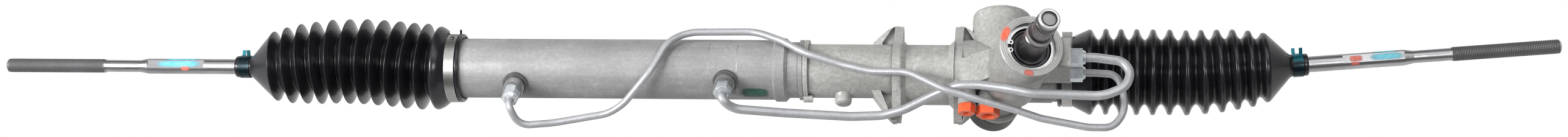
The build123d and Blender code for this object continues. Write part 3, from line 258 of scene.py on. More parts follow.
def paint(name, dark, light, ragged=0.5):
    """A dab of marking paint that thins to nothing at its ragged edge, by its edge attribute."""
    mat, tree, surface = new_material(name)
    vector = coords(tree)
    patch = noise(tree, vector, scale=260, detail=5, rough=0.7)
    tree.links.new(two_tones(tree, patch, dark, light), surface.inputs["Base Color"])
    surface.inputs["Roughness"].default_value = 0.45
    edge = tree.nodes.new("ShaderNodeAttribute")
    edge.attribute_name = "edge"
    add = tree.nodes.new("ShaderNodeMath")
    add.operation = "MULTIPLY_ADD"
    tree.links.new(patch, add.inputs[0])
    add.inputs[1].default_value = ragged
    tree.links.new(edge.outputs["Fac"], add.inputs[2])
    cover = remap(tree, add.outputs["Value"], 0.30 + ragged / 2, 0.90 + ragged / 2, 0.0, 0.92)
    tree.links.new(cover, surface.inputs["Alpha"])
    return mat


# ---------------------------------------------------------------- alloys
def tube_alloy_cast():
    return metal("tube_alloy_cast", (0.27, 0.27, 0.273), (0.365, 0.365, 0.368), rough=0.45, grain=1100,
                 depth=0.05, streak=(0.12, 1, 1), metallic=0.15, mottle=0.30)


def housing_alloy_cast():
    return metal("housing_alloy_cast", (0.34, 0.34, 0.325), (0.49, 0.49, 0.47), rough=0.44, grain=800,
                 depth=0.12, metallic=0.12, mottle=0.42)


def bush_alloy():
    return metal("bush_alloy", (0.46, 0.45, 0.43), (0.58, 0.57, 0.55), rough=0.4)


def machined_alloy():
    return metal("machined_alloy", (0.38, 0.38, 0.37), (0.50, 0.50, 0.485), rough=0.34, grain=1500,
                 metallic=0.3)


# ---------------------------------------------------------------- steels
def bright_steel():
    return metal("bright_steel", (0.55, 0.55, 0.56), (0.72, 0.72, 0.73), rough=0.24, grain=1200, depth=0.01)


def ground_steel():
    return metal("ground_steel", (0.60, 0.60, 0.61), (0.72, 0.72, 0.73), rough=0.18, grain=1500, depth=0.005,
                 streak=(1, 0.1, 0.1))


def plated_steel():
    return metal("plated_steel", (0.50, 0.55, 0.58), (0.84, 0.89, 0.92), rough=0.26, grain=1200, depth=0.01,
                 metallic=0.6, mottle=0.35)


def pipe_steel():
    return metal("pipe_steel", (0.35, 0.355, 0.37), (0.48, 0.485, 0.50), rough=0.42, grain=1300, depth=0.03,
                 metallic=0.4, mottle=0.20)


def union_steel():
    return metal("union_steel", (0.15, 0.15, 0.155), (0.40, 0.40, 0.405), rough=0.34, grain=1300, depth=0.03,
                 metallic=0.6, mottle=0.4)


def clamp_steel():
    return metal("clamp_steel", (0.27, 0.267, 0.26), (0.38, 0.375, 0.37), rough=0.36, grain=1300, depth=0.01,
                 streak=(1, 0.08, 0.08))


def shaft_steel():
    return metal("shaft_steel", (0.13, 0.125, 0.13), (0.24, 0.23, 0.235), rough=0.33, grain=1200)


def dark_steel():
    return metal("dark_steel", (0.014, 0.014, 0.013), (0.036, 0.035, 0.033), rough=0.50, grain=1000,
                 depth=0.04, metallic=0.2)


def rod_steel():
    return metal("rod_steel", (0.32, 0.32, 0.33), (0.46, 0.46, 0.47), rough=0.32, grain=1200,
                 streak=(0.06, 1, 1))


def phosphate_steel():
    return metal("phosphate_steel", (0.09, 0.09, 0.092), (0.15, 0.15, 0.155), rough=0.55, grain=1400,
                 depth=0.03, metallic=0.75)


def rivet_steel():
    return metal("rivet_steel", (0.05, 0.05, 0.05), (0.12, 0.12, 0.115), rough=0.4, grain=1000)


def spring_steel():
    return metal("spring_steel", (0.42, 0.42, 0.43), (0.62, 0.62, 0.62), rough=0.30, grain=1200)


# Dark spring steel with a teal tint, and a painted teal glint on its side towards +Y.
def teal_spring():
    return metal("teal_spring", (0.003, 0.006, 0.008), (0.008, 0.03, 0.04), rough=0.30, grain=1200,
                 depth=0.01, metallic=0.7, blotch=120, top_glint=(0.015, 0.16, 0.20))


def core_steel():
    return metal("core_steel", (0.22, 0.22, 0.22), (0.42, 0.42, 0.415), rough=0.45, grain=700, depth=0.10)


def worn_steel():
    return metal("worn_steel", (0.50, 0.50, 0.50), (0.72, 0.72, 0.71), rough=0.42, depth=0.05)


# Near black, for painted shade in a groove.
def groove_painted_shade():
    return metal("groove_painted_shade", (0.02, 0.02, 0.02), (0.04, 0.04, 0.04), rough=0.5, depth=0.03)


# ---------------------------------------------------------------- rubbers, plastics and paints
def seal_rubber():
    return rubber("seal_rubber", (0.012, 0.012, 0.016), (0.03, 0.03, 0.036), rough=0.32)


# A lighter copy of the seal's rubber: painted sheen, so that the lips show as grey arcs.
def seal_lip_painted_sheen():
    return rubber("seal_lip_painted_sheen", (0.07, 0.07, 0.08), (0.14, 0.14, 0.15), rough=0.20)


def boot_rubber():
    # The folds' colour is painted shade for the valleys between the folds.
    return rubber("boot_rubber", (0.010, 0.010, 0.0125), (0.018, 0.018, 0.022), rough=0.24,
                  folds=(0.0015, 0.0015, 0.002))


def black_plastic():
    return plastic("black_plastic", (0.012, 0.012, 0.013), (0.03, 0.03, 0.032), scatter=0.0)


def seat_plastic():
    return plastic("seat_plastic", (0.62, 0.60, 0.54), (0.74, 0.72, 0.66))


def orange_plastic():
    # Glows a little by painted glow.
    return plastic("orange_plastic", (0.90, 0.11, 0.035), (0.98, 0.17, 0.06), rough=0.38, scatter=0.15,
                   painted_glow=0.03)


def paint_cyan():
    return paint("paint_cyan", (0.07, 0.42, 0.55), (0.22, 0.60, 0.70))


def paint_red():
    return paint("paint_red", (0.50, 0.10, 0.08), (0.70, 0.20, 0.15))


def paint_green():
    return paint("paint_green", (0.01, 0.10, 0.06), (0.03, 0.17, 0.11))


def paint_orange():
    return paint("paint_orange", (0.95, 0.10, 0.04), (1.0, 0.22, 0.12), ragged=1.8)


MATERIALS = {make.__name__: make() for make in (
    tube_alloy_cast, housing_alloy_cast, bush_alloy, bright_steel, ground_steel, plated_steel, pipe_steel,
    union_steel, clamp_steel, shaft_steel, dark_steel, rod_steel, phosphate_steel, seal_rubber, boot_rubber,
    machined_alloy, rivet_steel, black_plastic, seat_plastic, orange_plastic, teal_spring, spring_steel,
    core_steel, worn_steel, groove_painted_shade, seal_lip_painted_sheen, paint_cyan, paint_red, paint_green, paint_orange)}


# ---------------------------------------------------------------- finish of the frame's own nodes
FINISH = {
    "tube_alloy_cast": ("rack_tube",),
    "housing_alloy_cast": ("gear_housing",),
    "bush_alloy": ("left_seal_carrier", "inner_seal_carrier", "yoke"),
    "bright_steel": ("end_retainer", "yoke_spring", "upper_bearing", "lower_bearing", "piston", "pinion",
                     "valve_sleeve", "left_rod_socket", "right_rod_socket"),
    "ground_steel": ("rack_bar",),
    "plated_steel": ("yoke_plug", "pipe_nuts", "left_lock_washer", "right_lock_washer"),
    "union_steel": ("pipe_unions",),
    "pipe_steel": ("pipe_left", "pipe_right"),
    "clamp_steel": ("left_boot_clamp", "right_boot_clamp"),
    "shaft_steel": ("input_shaft",),
    "core_steel": ("torsion_bar",),
    "dark_steel": ("pinion_cap",),
    "rod_steel": ("left_tie_rod", "right_tie_rod"),
    "spring_steel": ("snap_ring",),
    "teal_spring": ("left_boot_clip", "right_boot_clip"),
    "seal_rubber": ("left_rod_seal", "inner_rod_seal", "valve_seal"),
    "boot_rubber": ("left_boot", "right_boot"),
    "black_plastic": ("rack_bush", "piston_ring", "sleeve_rings"),
    "seat_plastic": ("left_ball_seat", "right_ball_seat"),
    "orange_plastic": ("port_plugs",),
}
for finish, nodes in FINISH.items():
    for node in nodes:
        for place in NODES[node].material_slots:
            place.material = MATERIALS[finish]


# ---------------------------------------------------------------- mesh helpers: lengths in mm
def mesh_object(name, bm, material, body=None, smooth=True):
    """An object from a mesh in the making, which rides on its body when one is given."""
    bmesh.ops.recalc_face_normals(bm, faces=bm.faces)
    mesh = bpy.data.meshes.new(name)
    bm.to_mesh(mesh)
    bm.free()
    for face in mesh.polygons:
        face.use_smooth = smooth
    mesh.materials.append(MATERIALS[material])
    obj = bpy.data.objects.new(name, mesh)
    bpy.context.scene.collection.objects.link(obj)
    if body:
        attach(obj, body)
    return obj


def polar(place, along, radius, angle):
    """Point at a distance along a placed frame's X axis and at a radius and angle about it."""
    return place @ (Vector((along, radius * cos(angle), radius * sin(angle))) * MM)


def loft(bm, loops, closed_ring=True):
    """Skins rows of points, each a ring or an open strip, into a surface."""
    rows = [[bm.verts.new(point) for point in loop] for loop in loops]
    count = len(rows[0])
    for near, far in zip(rows, rows[1:]):
        for turn in range(count if closed_ring else count - 1):
            step = (turn + 1) % count
            bm.faces.new((near[turn], near[step], far[step], far[turn]))


def ring_piece(name, place, outline, material, body, steps=96):
    """A small turned piece from an open outline of (along, radius) points."""
    bm = bmesh.new()
    loft(bm, [[polar(place, along, radius, 2 * pi * turn / steps) for turn in range(steps)]
              for along, radius in outline])
    return mesh_object(name, bm, material, body)


def raised(base, outline):
    """An outline of (rise, radius) points, moved to start from a base."""
    return [(base + rise, radius) for rise, radius in outline]


# ---------------------------------------------------------------- layout taken from the frame, in mm
SIDES = ((-1, "left"), (1, "right"))
BALL_X = {side: JOINTS[f"{name}_rod_lift"]["pos_m"][0] / MM for side, name in SIDES}
SWING = {side: -radians(sum(JOINTS[f"{name}_rod_sweep"]["range_deg"]) / 2) for side, name in SIDES}
PINION = JOINTS["pinion_spin"]
PINION_LEAN = atan2(PINION["axis"][0], PINION["axis"][2])
PINION_PLACE = Matrix.Translation(PINION["pos_m"]) @ Matrix.Rotation(PINION_LEAN - pi / 2, 4, "Y")
RACK_PLACE = Matrix.Identity(4)
TUBE_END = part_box("rack_tube")[1][0] / MM


def rod_place(side):
    """Matrix of a rod's own frame: origin at its ball, +X along the rod, +Y to the rack's +Y."""
    flip = Matrix.Diagonal((side, 1, 1, 1))
    return Matrix.Translation((BALL_X[side] * MM, 0, 0)) @ Matrix.Rotation(SWING[side], 4, "Z") @ flip


def span(node, place):
    """Where a node starts and ends along the X axis of a placed frame."""
    back = place.inverted()
    along = [(back @ vertex.co)[0] / MM for vertex in NODES[node].data.vertices]
    return min(along), max(along)


# ---------------------------------------------------------------- boots: distances from the ball, in mm
# Where a value has two entries, -1 is the left boot, which hangs in a slight bow, and 1 is the right one.
CUFF_START = {-1: BALL_X[-1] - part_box("left_boot")[1][0] / MM,
              1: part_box("right_boot")[0][0] / MM - BALL_X[1]}
CUFF_LENGTH, CUFF_R, CUFF_WALL = 12.0, 30.4, 2.4
LIP_LENGTH, LIP_HEIGHT = 2.5, 1.2
SOFT, CRISP, BLUNT = 0.8, 0.4, 3.0

NECK_END = BALL_X[-1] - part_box("left_boot")[0][0] / MM
NECK_LENGTH, NECK_R, NECK_BORE = 15.5, 9.4, 7.4
NECK_START = NECK_END - NECK_LENGTH
GROOVE_START, GROOVE_END, GROOVE_R = NECK_START + 7.0, NECK_START + 11.0, 8.9
GROOVE_SLOPE = 0.7
BEAD_R, BEAD_EDGE, BEAD_ROUND = 9.8, 1.2, 0.6

FOLDS = 12
FOLDS_START = {side: CUFF_START[side] + CUFF_LENGTH for side, name in SIDES}
FIRST_CREST = {-1: CUFF_START[-1] + 24.1, 1: CUFF_START[1] + 29.6}
FIRST_FOOT, FIRST_DROP, FIRST_LIFT, FIRST_ROUND = 6.0, 2.4, 0.6, 2.0
LAST_CREST = {-1: 61.6, 1: 61.3}
UNEVEN = 0.010
CREST_R, CREST_ROUND = 38.4, 2.4
CREST_HALF = {-1: 0.25, 1: 1.7}
CREST_LIFT = {-1: 1.1, 1: 0.0}
VALLEY_R = {-1: 26.6, 1: 28.0}
VALLEY_ROUND = {-1: 1.0, 1: 2.6}
SHOULDER_SHARE, SHOULDER_ROUND = 0.27, 2.5
SHOULDER_RISE = {-1: 0.36, 1: 0.40}
CREST_TAPER, VALLEY_TAPER, TAPER_FOLDS = 7.5, 4.5, 1.9

WALL = 2.0
BOW = {-1: 5.9, 1: 0.0}
# Each ripple: waves round the boot, share of its radius, twist in radians for each mm along.
RIPPLES = ((3, 0.004, 0.23), (5, 0.003, -0.17))
RIPPLE_END = NECK_START - 6
BALL_BEND = 14.0
BEND_START, BEND_END = 18.0, NECK_START - 14
BEND_MIDDLE = {-1: 34.0, 1: 31.0}


def fold_place(side, fold):
    """Distance of one crest from the ball; the folds are wider apart in the middle."""
    t = fold / (FOLDS - 1)
    return FIRST_CREST[side] + (LAST_CREST[side] - FIRST_CREST[side]) * (t - UNEVEN * sin(2 * pi * t))


def tapered(fold):
    """Share of the taper that a fold has: all of it at the neck, and fading away from there."""
    return exp(-(FOLDS - 1 - fold) / TAPER_FOLDS)


def crest(fold):
    return CREST_R - CREST_TAPER * tapered(fold)


def valley(side, fold):
    return VALLEY_R[side] - VALLEY_TAPER * tapered(fold)


def rounded(corners, steps=4):
    """Outline through (along, radius, rounding) corners, each eased by its own rounding."""
    out = [corners[0][:2]]
    for before, corner, after in zip(corners, corners[1:], corners[2:]):
        near, here, far = Vector(before[:2]), Vector(corner[:2]), Vector(after[:2])
        back, ahead = near - here, far - here
        reach = min(corner[2], back.length * 0.48, ahead.length * 0.48)
        start, end = here + back.normalized() * reach, here + ahead.normalized() * reach
        for step in range(steps + 1):
            t = step / steps
            point = start * (1 - t) ** 2 + here * 2 * t * (1 - t) + end * t ** 2
            out.append((point.x, point.y))
    return out + [corners[-1][:2]]


def cuff_corners(side):
    """The cuff, with a raised lip at its open end."""
    start = CUFF_START[side]
    return [(start, CUFF_R - CUFF_WALL, 0), (start, CUFF_R + LIP_HEIGHT / 3, SOFT),
            (start + LIP_LENGTH, CUFF_R + LIP_HEIGHT, SOFT), (start + LIP_LENGTH + 1, CUFF_R, CRISP),
            (FOLDS_START[side], CUFF_R, SOFT)]


def first_corners(side):
    """The first fold's rise from the cuff to its blunt crest."""
    first = fold_place(side, 0)
    return [(first - FIRST_FOOT, crest(0) - FIRST_DROP, FIRST_ROUND), (first, crest(0) + FIRST_LIFT, BLUNT)]


def fold_corners(side, fold):
    """From the crest before a fold, through the bell-shaped valley, to the fold's own crest."""
    before, here = fold_place(side, fold - 1), fold_place(side, fold)
    low = valley(side, fold - 1)
    shoulder = SHOULDER_SHARE * (here - before)
    corners = [
        (before + shoulder, low + SHOULDER_RISE[side] * (crest(fold - 1) - low), SHOULDER_ROUND),
        ((before + here) / 2, low, VALLEY_ROUND[side]),
        (here - shoulder, low + SHOULDER_RISE[side] * (crest(fold) - low), SHOULDER_ROUND)]
    for way in (-1, 1):
        corners.append((here + way * CREST_HALF[side], crest(fold) + CREST_LIFT[side], CREST_ROUND))
    return corners


def neck_corners():
    """The neck, with a groove for its clip and a bead at its end."""
    return [(NECK_START, NECK_R, BLUNT), (GROOVE_START - GROOVE_SLOPE, NECK_R, CRISP),
            (GROOVE_START, GROOVE_R, CRISP), (GROOVE_END, GROOVE_R, CRISP),
            (GROOVE_END + GROOVE_SLOPE, BEAD_R, CRISP), (NECK_END - BEAD_EDGE, BEAD_R, BEAD_ROUND),
            (NECK_END, GROOVE_R, CRISP), (NECK_END, NECK_BORE, 0)]


def outer_skin(side):
    """Outer outline of a boot, from the cuff's lip to the neck's end."""
    corners = cuff_corners(side) + first_corners(side)
    for fold in range(1, FOLDS):
        corners += fold_corners(side, fold)
    return rounded(corners + neck_corners())


def inner_skin(outer, joins):
    """Inner outline: a wall's thickness inside the outer one, with its own point at each join."""
    inner = [(along, max(NECK_BORE, radius - WALL)) for along, radius in outer if along < NECK_START]
    inner = inner[1:] + [(NECK_START + 1, NECK_BORE), (NECK_END, NECK_BORE)]
    inner += [(along, radius - WALL) for along, radius in joins]
    return sorted(set(inner))


def boot_bow(side, along):
    """How far a boot's middle line bows towards +Y, and its slope there."""
    length = NECK_START - FOLDS_START[side]
    t = min(1.0, max(0.0, (along - FOLDS_START[side]) / length))
    return BOW[side] * sin(pi * t) ** 2, BOW[side] * pi / length * sin(2 * pi * t)


def boot_rings(side, outline, steps=96):
    """Rings of one skin, bent at the ball and bowed, with slight ripples as moulded rubber has."""
    joint = Vector((BALL_X[side] * MM, 0, 0))
    loops = []
    for along, radius in outline:
        bend = SWING[side] * min(1.0, max(0.0, (along + BALL_BEND) / (2 * BALL_BEND)))
        bow, slope = boot_bow(side, along)
        centre = Vector((side * along * cos(bend), side * along * sin(bend) + bow, 0)) * MM
        facing = Matrix.Rotation(bend + side * slope, 3, "Z")
        folded = FOLDS_START[side] < along < RIPPLE_END
        loop = []
        for turn in range(steps):
            angle = 2 * pi * turn / steps
            ripple = sum(share * sin(waves * angle + twist * along) for waves, share, twist in RIPPLES)
            reach = radius * (1 + ripple) if folded else radius
            loop.append(joint + centre + facing @ Vector((0, reach * cos(angle), reach * sin(angle))) * MM)
        loops.append(loop)
    return loops


def boot(side, name):
    """One boot as three skins that meet edge to edge, named after the slide, lift and sweep joints."""
    outer = outer_skin(side)
    joins = [min(outer, key=lambda point: abs(point[0] - wish)) for wish in (BEND_START, BEND_MIDDLE[side])]
    inner = inner_skin(outer, joins)
    cuts = [-inf, joins[0][0], joins[1][0], inf]
    pieces = []
    for index, label in enumerate(("slide", "lift", "sweep")):
        start, end = cuts[index], cuts[index + 1]
        out = [point for point in outer if start <= point[0] <= end]
        back = [point for point in inner if start <= point[0] <= end][::-1]
        bm = bmesh.new()
        loft(bm, boot_rings(side, out))
        loft(bm, boot_rings(side, back))
        if label == "sweep":
            loft(bm, boot_rings(side, [out[-1], back[0]]))
        if label == "slide":
            loft(bm, boot_rings(side, [back[-1], out[0]]))
        bmesh.ops.remove_doubles(bm, verts=bm.verts, dist=1e-6)
        pieces.append(mesh_object(f"{name}_boot_{label}", bm, "boot_rubber"))

    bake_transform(pieces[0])
    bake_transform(pieces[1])
    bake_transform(pieces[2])
    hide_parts(f"{name}_boot")


for side, name in SIDES:
    boot(side, name)


# ---------------------------------------------------------------- threads of the tie rods
THREAD_LENGTH, THREAD_PITCH = 95.0, 1.5
THREAD_ROOT, THREAD_CREST = 6.03, 6.42
THREAD_LEAD, TIP_CHAMFER = 0.8, 1.6


def ridge(name, place, start, end, pitch, root, crest, material, body, steps=30):
    """A thread's helical ridge along a placed frame's X axis, run out at both ends."""
    bm = bmesh.new()
    count = int((end - start) / pitch * steps)
    loops = []
    for step in range(count + 1):
        turn = 2 * pi * step / steps
        along = start + pitch * step / steps
        fade = min(1.0, step / steps, (count - step) / steps)
        strip = ((-pitch / 2, root), (0, root + (crest - root) * fade), (pitch / 2, root))
        loops.append([polar(place, along + offset, radius, turn) for offset, radius in strip])
    loft(bm, loops, closed_ring=False)
    return mesh_object(name, bm, material, body, smooth=False)


ROD_TIP = BALL_X[-1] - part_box("left_tie_rod")[0][0] / MM
for side, name in SIDES:
    ridge(f"{name}_rod_thread", rod_place(side), ROD_TIP - THREAD_LENGTH + THREAD_LEAD,
          ROD_TIP - TIP_CHAMFER, THREAD_PITCH, THREAD_ROOT, THREAD_CREST, "phosphate_steel", f"{name}_rod")


# ---------------------------------------------------------------- input shaft's spline and rings
SPLINE_TEETH, SPLINE_LEAN = 40, 0.06
SPLINE_LENGTH, SPLINE_ROOT, SPLINE_CREST = 13.5, 9.4, 9.95
SPLINE_RUNOUT = 0.8
TOOTH_FOOT, TOOTH_TIP = 0.36, 0.16
HEAD_HEIGHT = 7.0
# Outlines as (rise over the shaft's top, radius).
END_RING = ((-1.6, 9.45), (-0.9, 9.5), (0.05, 8.7), (0.12, 8.4), (0.12, 6.9), (-0.3, 6.6))
END_GROOVE = ((0.02, 6.75), (0.06, 6.4), (0.02, 5.9))
COLLAR = ((-36.0, 11.62), (-35.4, 11.75), (-31.0, 11.5), (-30.2, 11.2))


def splines(name, place, start, end, material, body):
    """Straight-sided teeth round a shaft, leaning a little round it."""
    bm = bmesh.new()
    pitch = 2 * pi / SPLINE_TEETH
    sections = ((start, SPLINE_ROOT, 0), (start + SPLINE_RUNOUT, SPLINE_CREST, 0),
                (end - SPLINE_RUNOUT, SPLINE_CREST, SPLINE_LEAN), (end, SPLINE_ROOT, SPLINE_LEAN))
    for tooth in range(SPLINE_TEETH):
        loops = []
        for along, radius, lean in sections:
            strip = ((-TOOTH_FOOT, SPLINE_ROOT), (-TOOTH_TIP, radius), (TOOTH_TIP, radius),
                     (TOOTH_FOOT, SPLINE_ROOT))
            loops.append([polar(place, along, reach, (tooth + share) * pitch + lean)
                          for share, reach in strip])
        loft(bm, loops, closed_ring=False)
    return mesh_object(name, bm, material, body, smooth=False)


SHAFT_TOP = span("input_shaft", PINION_PLACE)[1]
SPLINE_END = SHAFT_TOP - HEAD_HEIGHT
splines("shaft_splines", PINION_PLACE, SPLINE_END - SPLINE_LENGTH, SPLINE_END, "shaft_steel", "input")
ring_piece("shaft_end_ring", PINION_PLACE, raised(SHAFT_TOP, END_RING), "worn_steel", "input")
# A near-black ring laid on the shaft's end: painted shade for the groove round the torsion bar's head.
ring_piece("shaft_end_groove", PINION_PLACE, raised(SHAFT_TOP, END_GROOVE), "groove_painted_shade", "input")
ring_piece("shaft_collar_lower", PINION_PLACE, raised(SHAFT_TOP, COLLAR), "core_steel", "input")


# ---------------------------------------------------------------- valve seal's lips
# Radius and height of each lip.
LIPS = ((13.6, 1.2), (16.4, 0.7), (19.4, 1.0))
LIP_HALF, LIP_CREST_HALF, LIP_SHOULDER = 0.8, 0.55, 0.8

SEAL_TOP = span("valve_seal", PINION_PLACE)[1]
# Each lip is in the lighter rubber, a painted sheen.
for index, (radius, rise) in enumerate(LIPS):
    lip = ((0, radius - LIP_HALF), (rise * LIP_SHOULDER, radius - LIP_CREST_HALF), (rise, radius),
           (rise * LIP_SHOULDER, radius + LIP_CREST_HALF), (0, radius + LIP_HALF))
    ring_piece(f"seal_lip_{index}", PINION_PLACE, raised(SEAL_TOP, lip), "seal_lip_painted_sheen", "housing")


# ---------------------------------------------------------------- turning lines on the rim and the tube
# Inner and outer radius of each line on the rim.
RIM_LINES = ((23.1, 24.3), (24.7, 25.9), (26.2, 27.5))
RIM_LIFT, RIM_LINE_LIFT, RIM_LINE_EDGE = 0.01, 0.07, 0.12
TUBE_R = 27.0
SCORES_FROM_END = (84.9, 59.4)
SCORE = ((-0.2, TUBE_R), (-0.1, TUBE_R + 0.05), (0.1, TUBE_R + 0.05), (0.2, TUBE_R))

RIM_TOP = span("gear_housing", PINION_PLACE)[1]
for index, (inner, outer) in enumerate(RIM_LINES):
    line = ((RIM_LIFT, inner), (RIM_LINE_LIFT, inner + RIM_LINE_EDGE),
            (RIM_LINE_LIFT, outer - RIM_LINE_EDGE), (RIM_LIFT, outer))
    ring_piece(f"rim_face_{index}", PINION_PLACE, raised(RIM_TOP, line), "machined_alloy", "housing")
for index, distance in enumerate(SCORES_FROM_END):
    score = raised(TUBE_END - distance, SCORE)
    ring_piece(f"tube_score_{index}", RACK_PLACE, score, "core_steel", "housing")


# ---------------------------------------------------------------- unions' threads and feet
UNION_FOOT_R = 11.0
UNION_X = {"left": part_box("pipe_unions")[0][0] / MM + UNION_FOOT_R,
           "right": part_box("pipe_unions")[1][0] / MM - UNION_FOOT_R}
UNION_CLOCK = {"left": 38.0, "right": 45.0}
# Along is the distance from the rack's axis.
UNION_THREAD_START, UNION_THREAD_END, UNION_THREAD_PITCH = 30.2, 41.0, 1.8
UNION_THREAD_ROOT, UNION_THREAD_CREST = 8.5, 9.0
UNION_FOOT = ((28.2, UNION_FOOT_R + 0.05), (28.6, UNION_FOOT_R + 0.35), (29.0, UNION_FOOT_R + 0.05))


def union_place(along, clock):
    """Frame on the rack's axis whose +X runs out along a union; clock is from -Y towards +Z, in degrees."""
    out = Vector((0, -cos(radians(clock)), sin(radians(clock))))
    across = Vector((1, 0, 0))
    columns = Matrix((out, across, out.cross(across))).transposed().to_4x4()
    return Matrix.Translation((along * MM, 0, 0)) @ columns


for name, clock in UNION_CLOCK.items():
    place = union_place(UNION_X[name], clock)
    ridge(f"{name}_union_thread", place, UNION_THREAD_START, UNION_THREAD_END, UNION_THREAD_PITCH,
          UNION_THREAD_ROOT, UNION_THREAD_CREST, "union_steel", "housing")
    ring_piece(f"{name}_union_foot", place, UNION_FOOT, "rivet_steel", "housing")


# ---------------------------------------------------------------- band clamps' rivets
RIVET_CLOCK = 51.0
# Outline as (rise over the band, radius).
RIVET = ((-0.4, 1.9), (0.8, 1.8), (1.2, 1.0), (1.25, 0.05))
RIVET_STEPS = 24


def clamp_rivet(name):
    """A rivet head on a clamp's band; the clock is from +Y towards +Z, in degrees."""
    low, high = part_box(f"{name}_boot_clamp")
    band_radius = -low[1] / MM
    outward = Matrix.Rotation(radians(RIVET_CLOCK), 4, "X") @ Matrix.Rotation(pi / 2, 4, "Z")
    place = Matrix.Translation(((low[0] + high[0]) / 2, 0, 0)) @ outward
    ring_piece(f"{name}_clamp_rivet", place, raised(band_radius, RIVET), "rivet_steel", "housing",
               RIVET_STEPS)


for side, name in SIDES:
    clamp_rivet(name)


# ---------------------------------------------------------------- dabs of paint, in mm and degrees
DAB_STEPS = 22
FLAT_HEIGHT, ROD_R = 6.06, 7.06
TUBE_PAINT_R = TUBE_R + 0.08
GREEN_FROM_END = 43.4
RIM_PAINT = RIM_TOP + 0.12


def thickness(u, v):
    """How thick a dab is at u and v from -1 to 1: full in the middle, thin at its edges and corners."""
    return max(0.0, 1 - max(abs(u), abs(v)) ** 3 * 0.6 - hypot(u, v) ** 4 * 0.25)


def dab(name, point, material, body):
    """A thin skin of paint: point(u, v) gives its place for u and v from -1 to 1."""
    bm = bmesh.new()
    fades = []
    rows = []
    for i in range(DAB_STEPS + 1):
        row = []
        for j in range(DAB_STEPS + 1):
            u, v = 2 * i / DAB_STEPS - 1, 2 * j / DAB_STEPS - 1
            row.append(point(u, v))
            fades.append(thickness(u, v))
        rows.append(row)
    loft(bm, rows, closed_ring=False)
    obj = mesh_object(name, bm, material, body)
    edge = obj.data.attributes.new("edge", "FLOAT", "POINT")
    edge.data.foreach_set("value", fades)


def round_dab(name, place, middle, half, radius, clock, spread, material, body):
    """Paint on a round surface about a placed frame's X axis; clock is from +Y towards +Z."""
    dab(name, lambda u, v: polar(place, middle + u * half, radius, radians(clock + v * spread)),
        material, body)


def flat_dab(name, place, middle, half, half_width, material, body):
    """Paint on a rod's flat, which faces +Z in the rod's frame."""
    dab(name, lambda u, v: place @ (Vector((middle + u * half, v * half_width, FLAT_HEIGHT)) * MM),
        material, body)


def rim_dab(name, inner, outer, clock, spread, material):
    """Paint on the valve housing's flat rim."""
    middle, half = (inner + outer) / 2, (outer - inner) / 2
    dab(name, lambda u, v: polar(PINION_PLACE, RIM_PAINT, middle + u * half, radians(clock + v * spread)),
        material, "housing")


def left_rod_paint():
    rod = rod_place(-1)
    flat_dab("left_rod_paint_cyan", rod, middle=153.0, half=23.0, half_width=3.4,
             material="paint_cyan", body="left_rod")
    round_dab("left_rod_paint_cyan_high", rod, middle=151.0, half=19.0, radius=ROD_R, clock=42, spread=19,
              material="paint_cyan", body="left_rod")
    round_dab("left_rod_paint_red", rod, middle=146.5, half=4.5, radius=ROD_R, clock=128, spread=20,
              material="paint_red", body="left_rod")


def right_rod_paint():
    rod = rod_place(1)
    flat_dab("right_rod_paint_red", rod, middle=140.5, half=6.5, half_width=3.3,
             material="paint_red", body="right_rod")
    round_dab("right_rod_paint_red_low", rod, middle=139.5, half=4.5, radius=ROD_R, clock=130, spread=16,
              material="paint_red", body="right_rod")
    flat_dab("right_rod_paint_cyan", rod, middle=167.0, half=16.0, half_width=3.4,
             material="paint_cyan", body="right_rod")
    round_dab("right_rod_paint_cyan_high", rod, middle=167.0, half=13.0, radius=ROD_R, clock=42, spread=17,
              material="paint_cyan", body="right_rod")


def housing_paint():
    round_dab("tube_paint_green", RACK_PLACE, middle=TUBE_END - GREEN_FROM_END, half=14.0,
              radius=TUBE_PAINT_R, clock=163, spread=15, material="paint_green", body="housing")
    rim_dab("rim_paint_left", inner=21.2, outer=29.0, clock=70, spread=18, material="paint_orange")
    rim_dab("rim_paint_front", inner=22.2, outer=28.6, clock=175, spread=11, material="paint_red")


left_rod_paint()
right_rod_paint()
housing_paint()


# ---------------------------------------------------------------- camera, in metres
SIGHT = Vector((0.1132, -0.3722, 0.9212)).normalized()
RIGHT = Vector((0.9936, 0.0420, -0.1051)).normalized()
UP = SIGHT.cross(RIGHT)
ROLL = 0.0065
LOOKED_AT = Vector((-0.131, 0, 0)) + 0.001375 * UP
CAMERA_DISTANCE = 2.45
LENS, SENSOR = 62.25, 36


def set_camera():
    """Looks down the sight line from its distance, rolled a little."""
    data = bpy.data.cameras.new("camera")
    data.lens = LENS
    data.sensor_width = SENSOR
    camera = bpy.data.objects.new("camera", data)
    bpy.context.scene.collection.objects.link(camera)
    right, up = (RIGHT + ROLL * UP).normalized(), (UP - ROLL * RIGHT).normalized()
    facing = Matrix((right, up, SIGHT)).transposed().to_4x4()
    camera.matrix_world = Matrix.Translation(LOOKED_AT + CAMERA_DISTANCE * SIGHT) @ facing
    bpy.context.scene.camera = camera


set_camera()


# ---------------------------------------------------------------- floor, surroundings and lamps
FLOOR_HALF, FLOOR_Z = 40.0, -0.075
FLOOR_GREY = 0.15
AMBIENT = 0.15


def seen_rays(tree):
    """1 for the rays that see the background: straight, mirrored or through something clear."""
    path = tree.nodes.new("ShaderNodeLightPath")
    total = path.outputs["Is Camera Ray"]
    for name in ("Is Glossy Ray", "Is Transmission Ray"):
        either = tree.nodes.new("ShaderNodeMath")
        either.operation = "MAXIMUM"
        tree.links.new(total, either.inputs[0])
        tree.links.new(path.outputs[name], either.inputs[1])
        total = either.outputs["Value"]
    return total


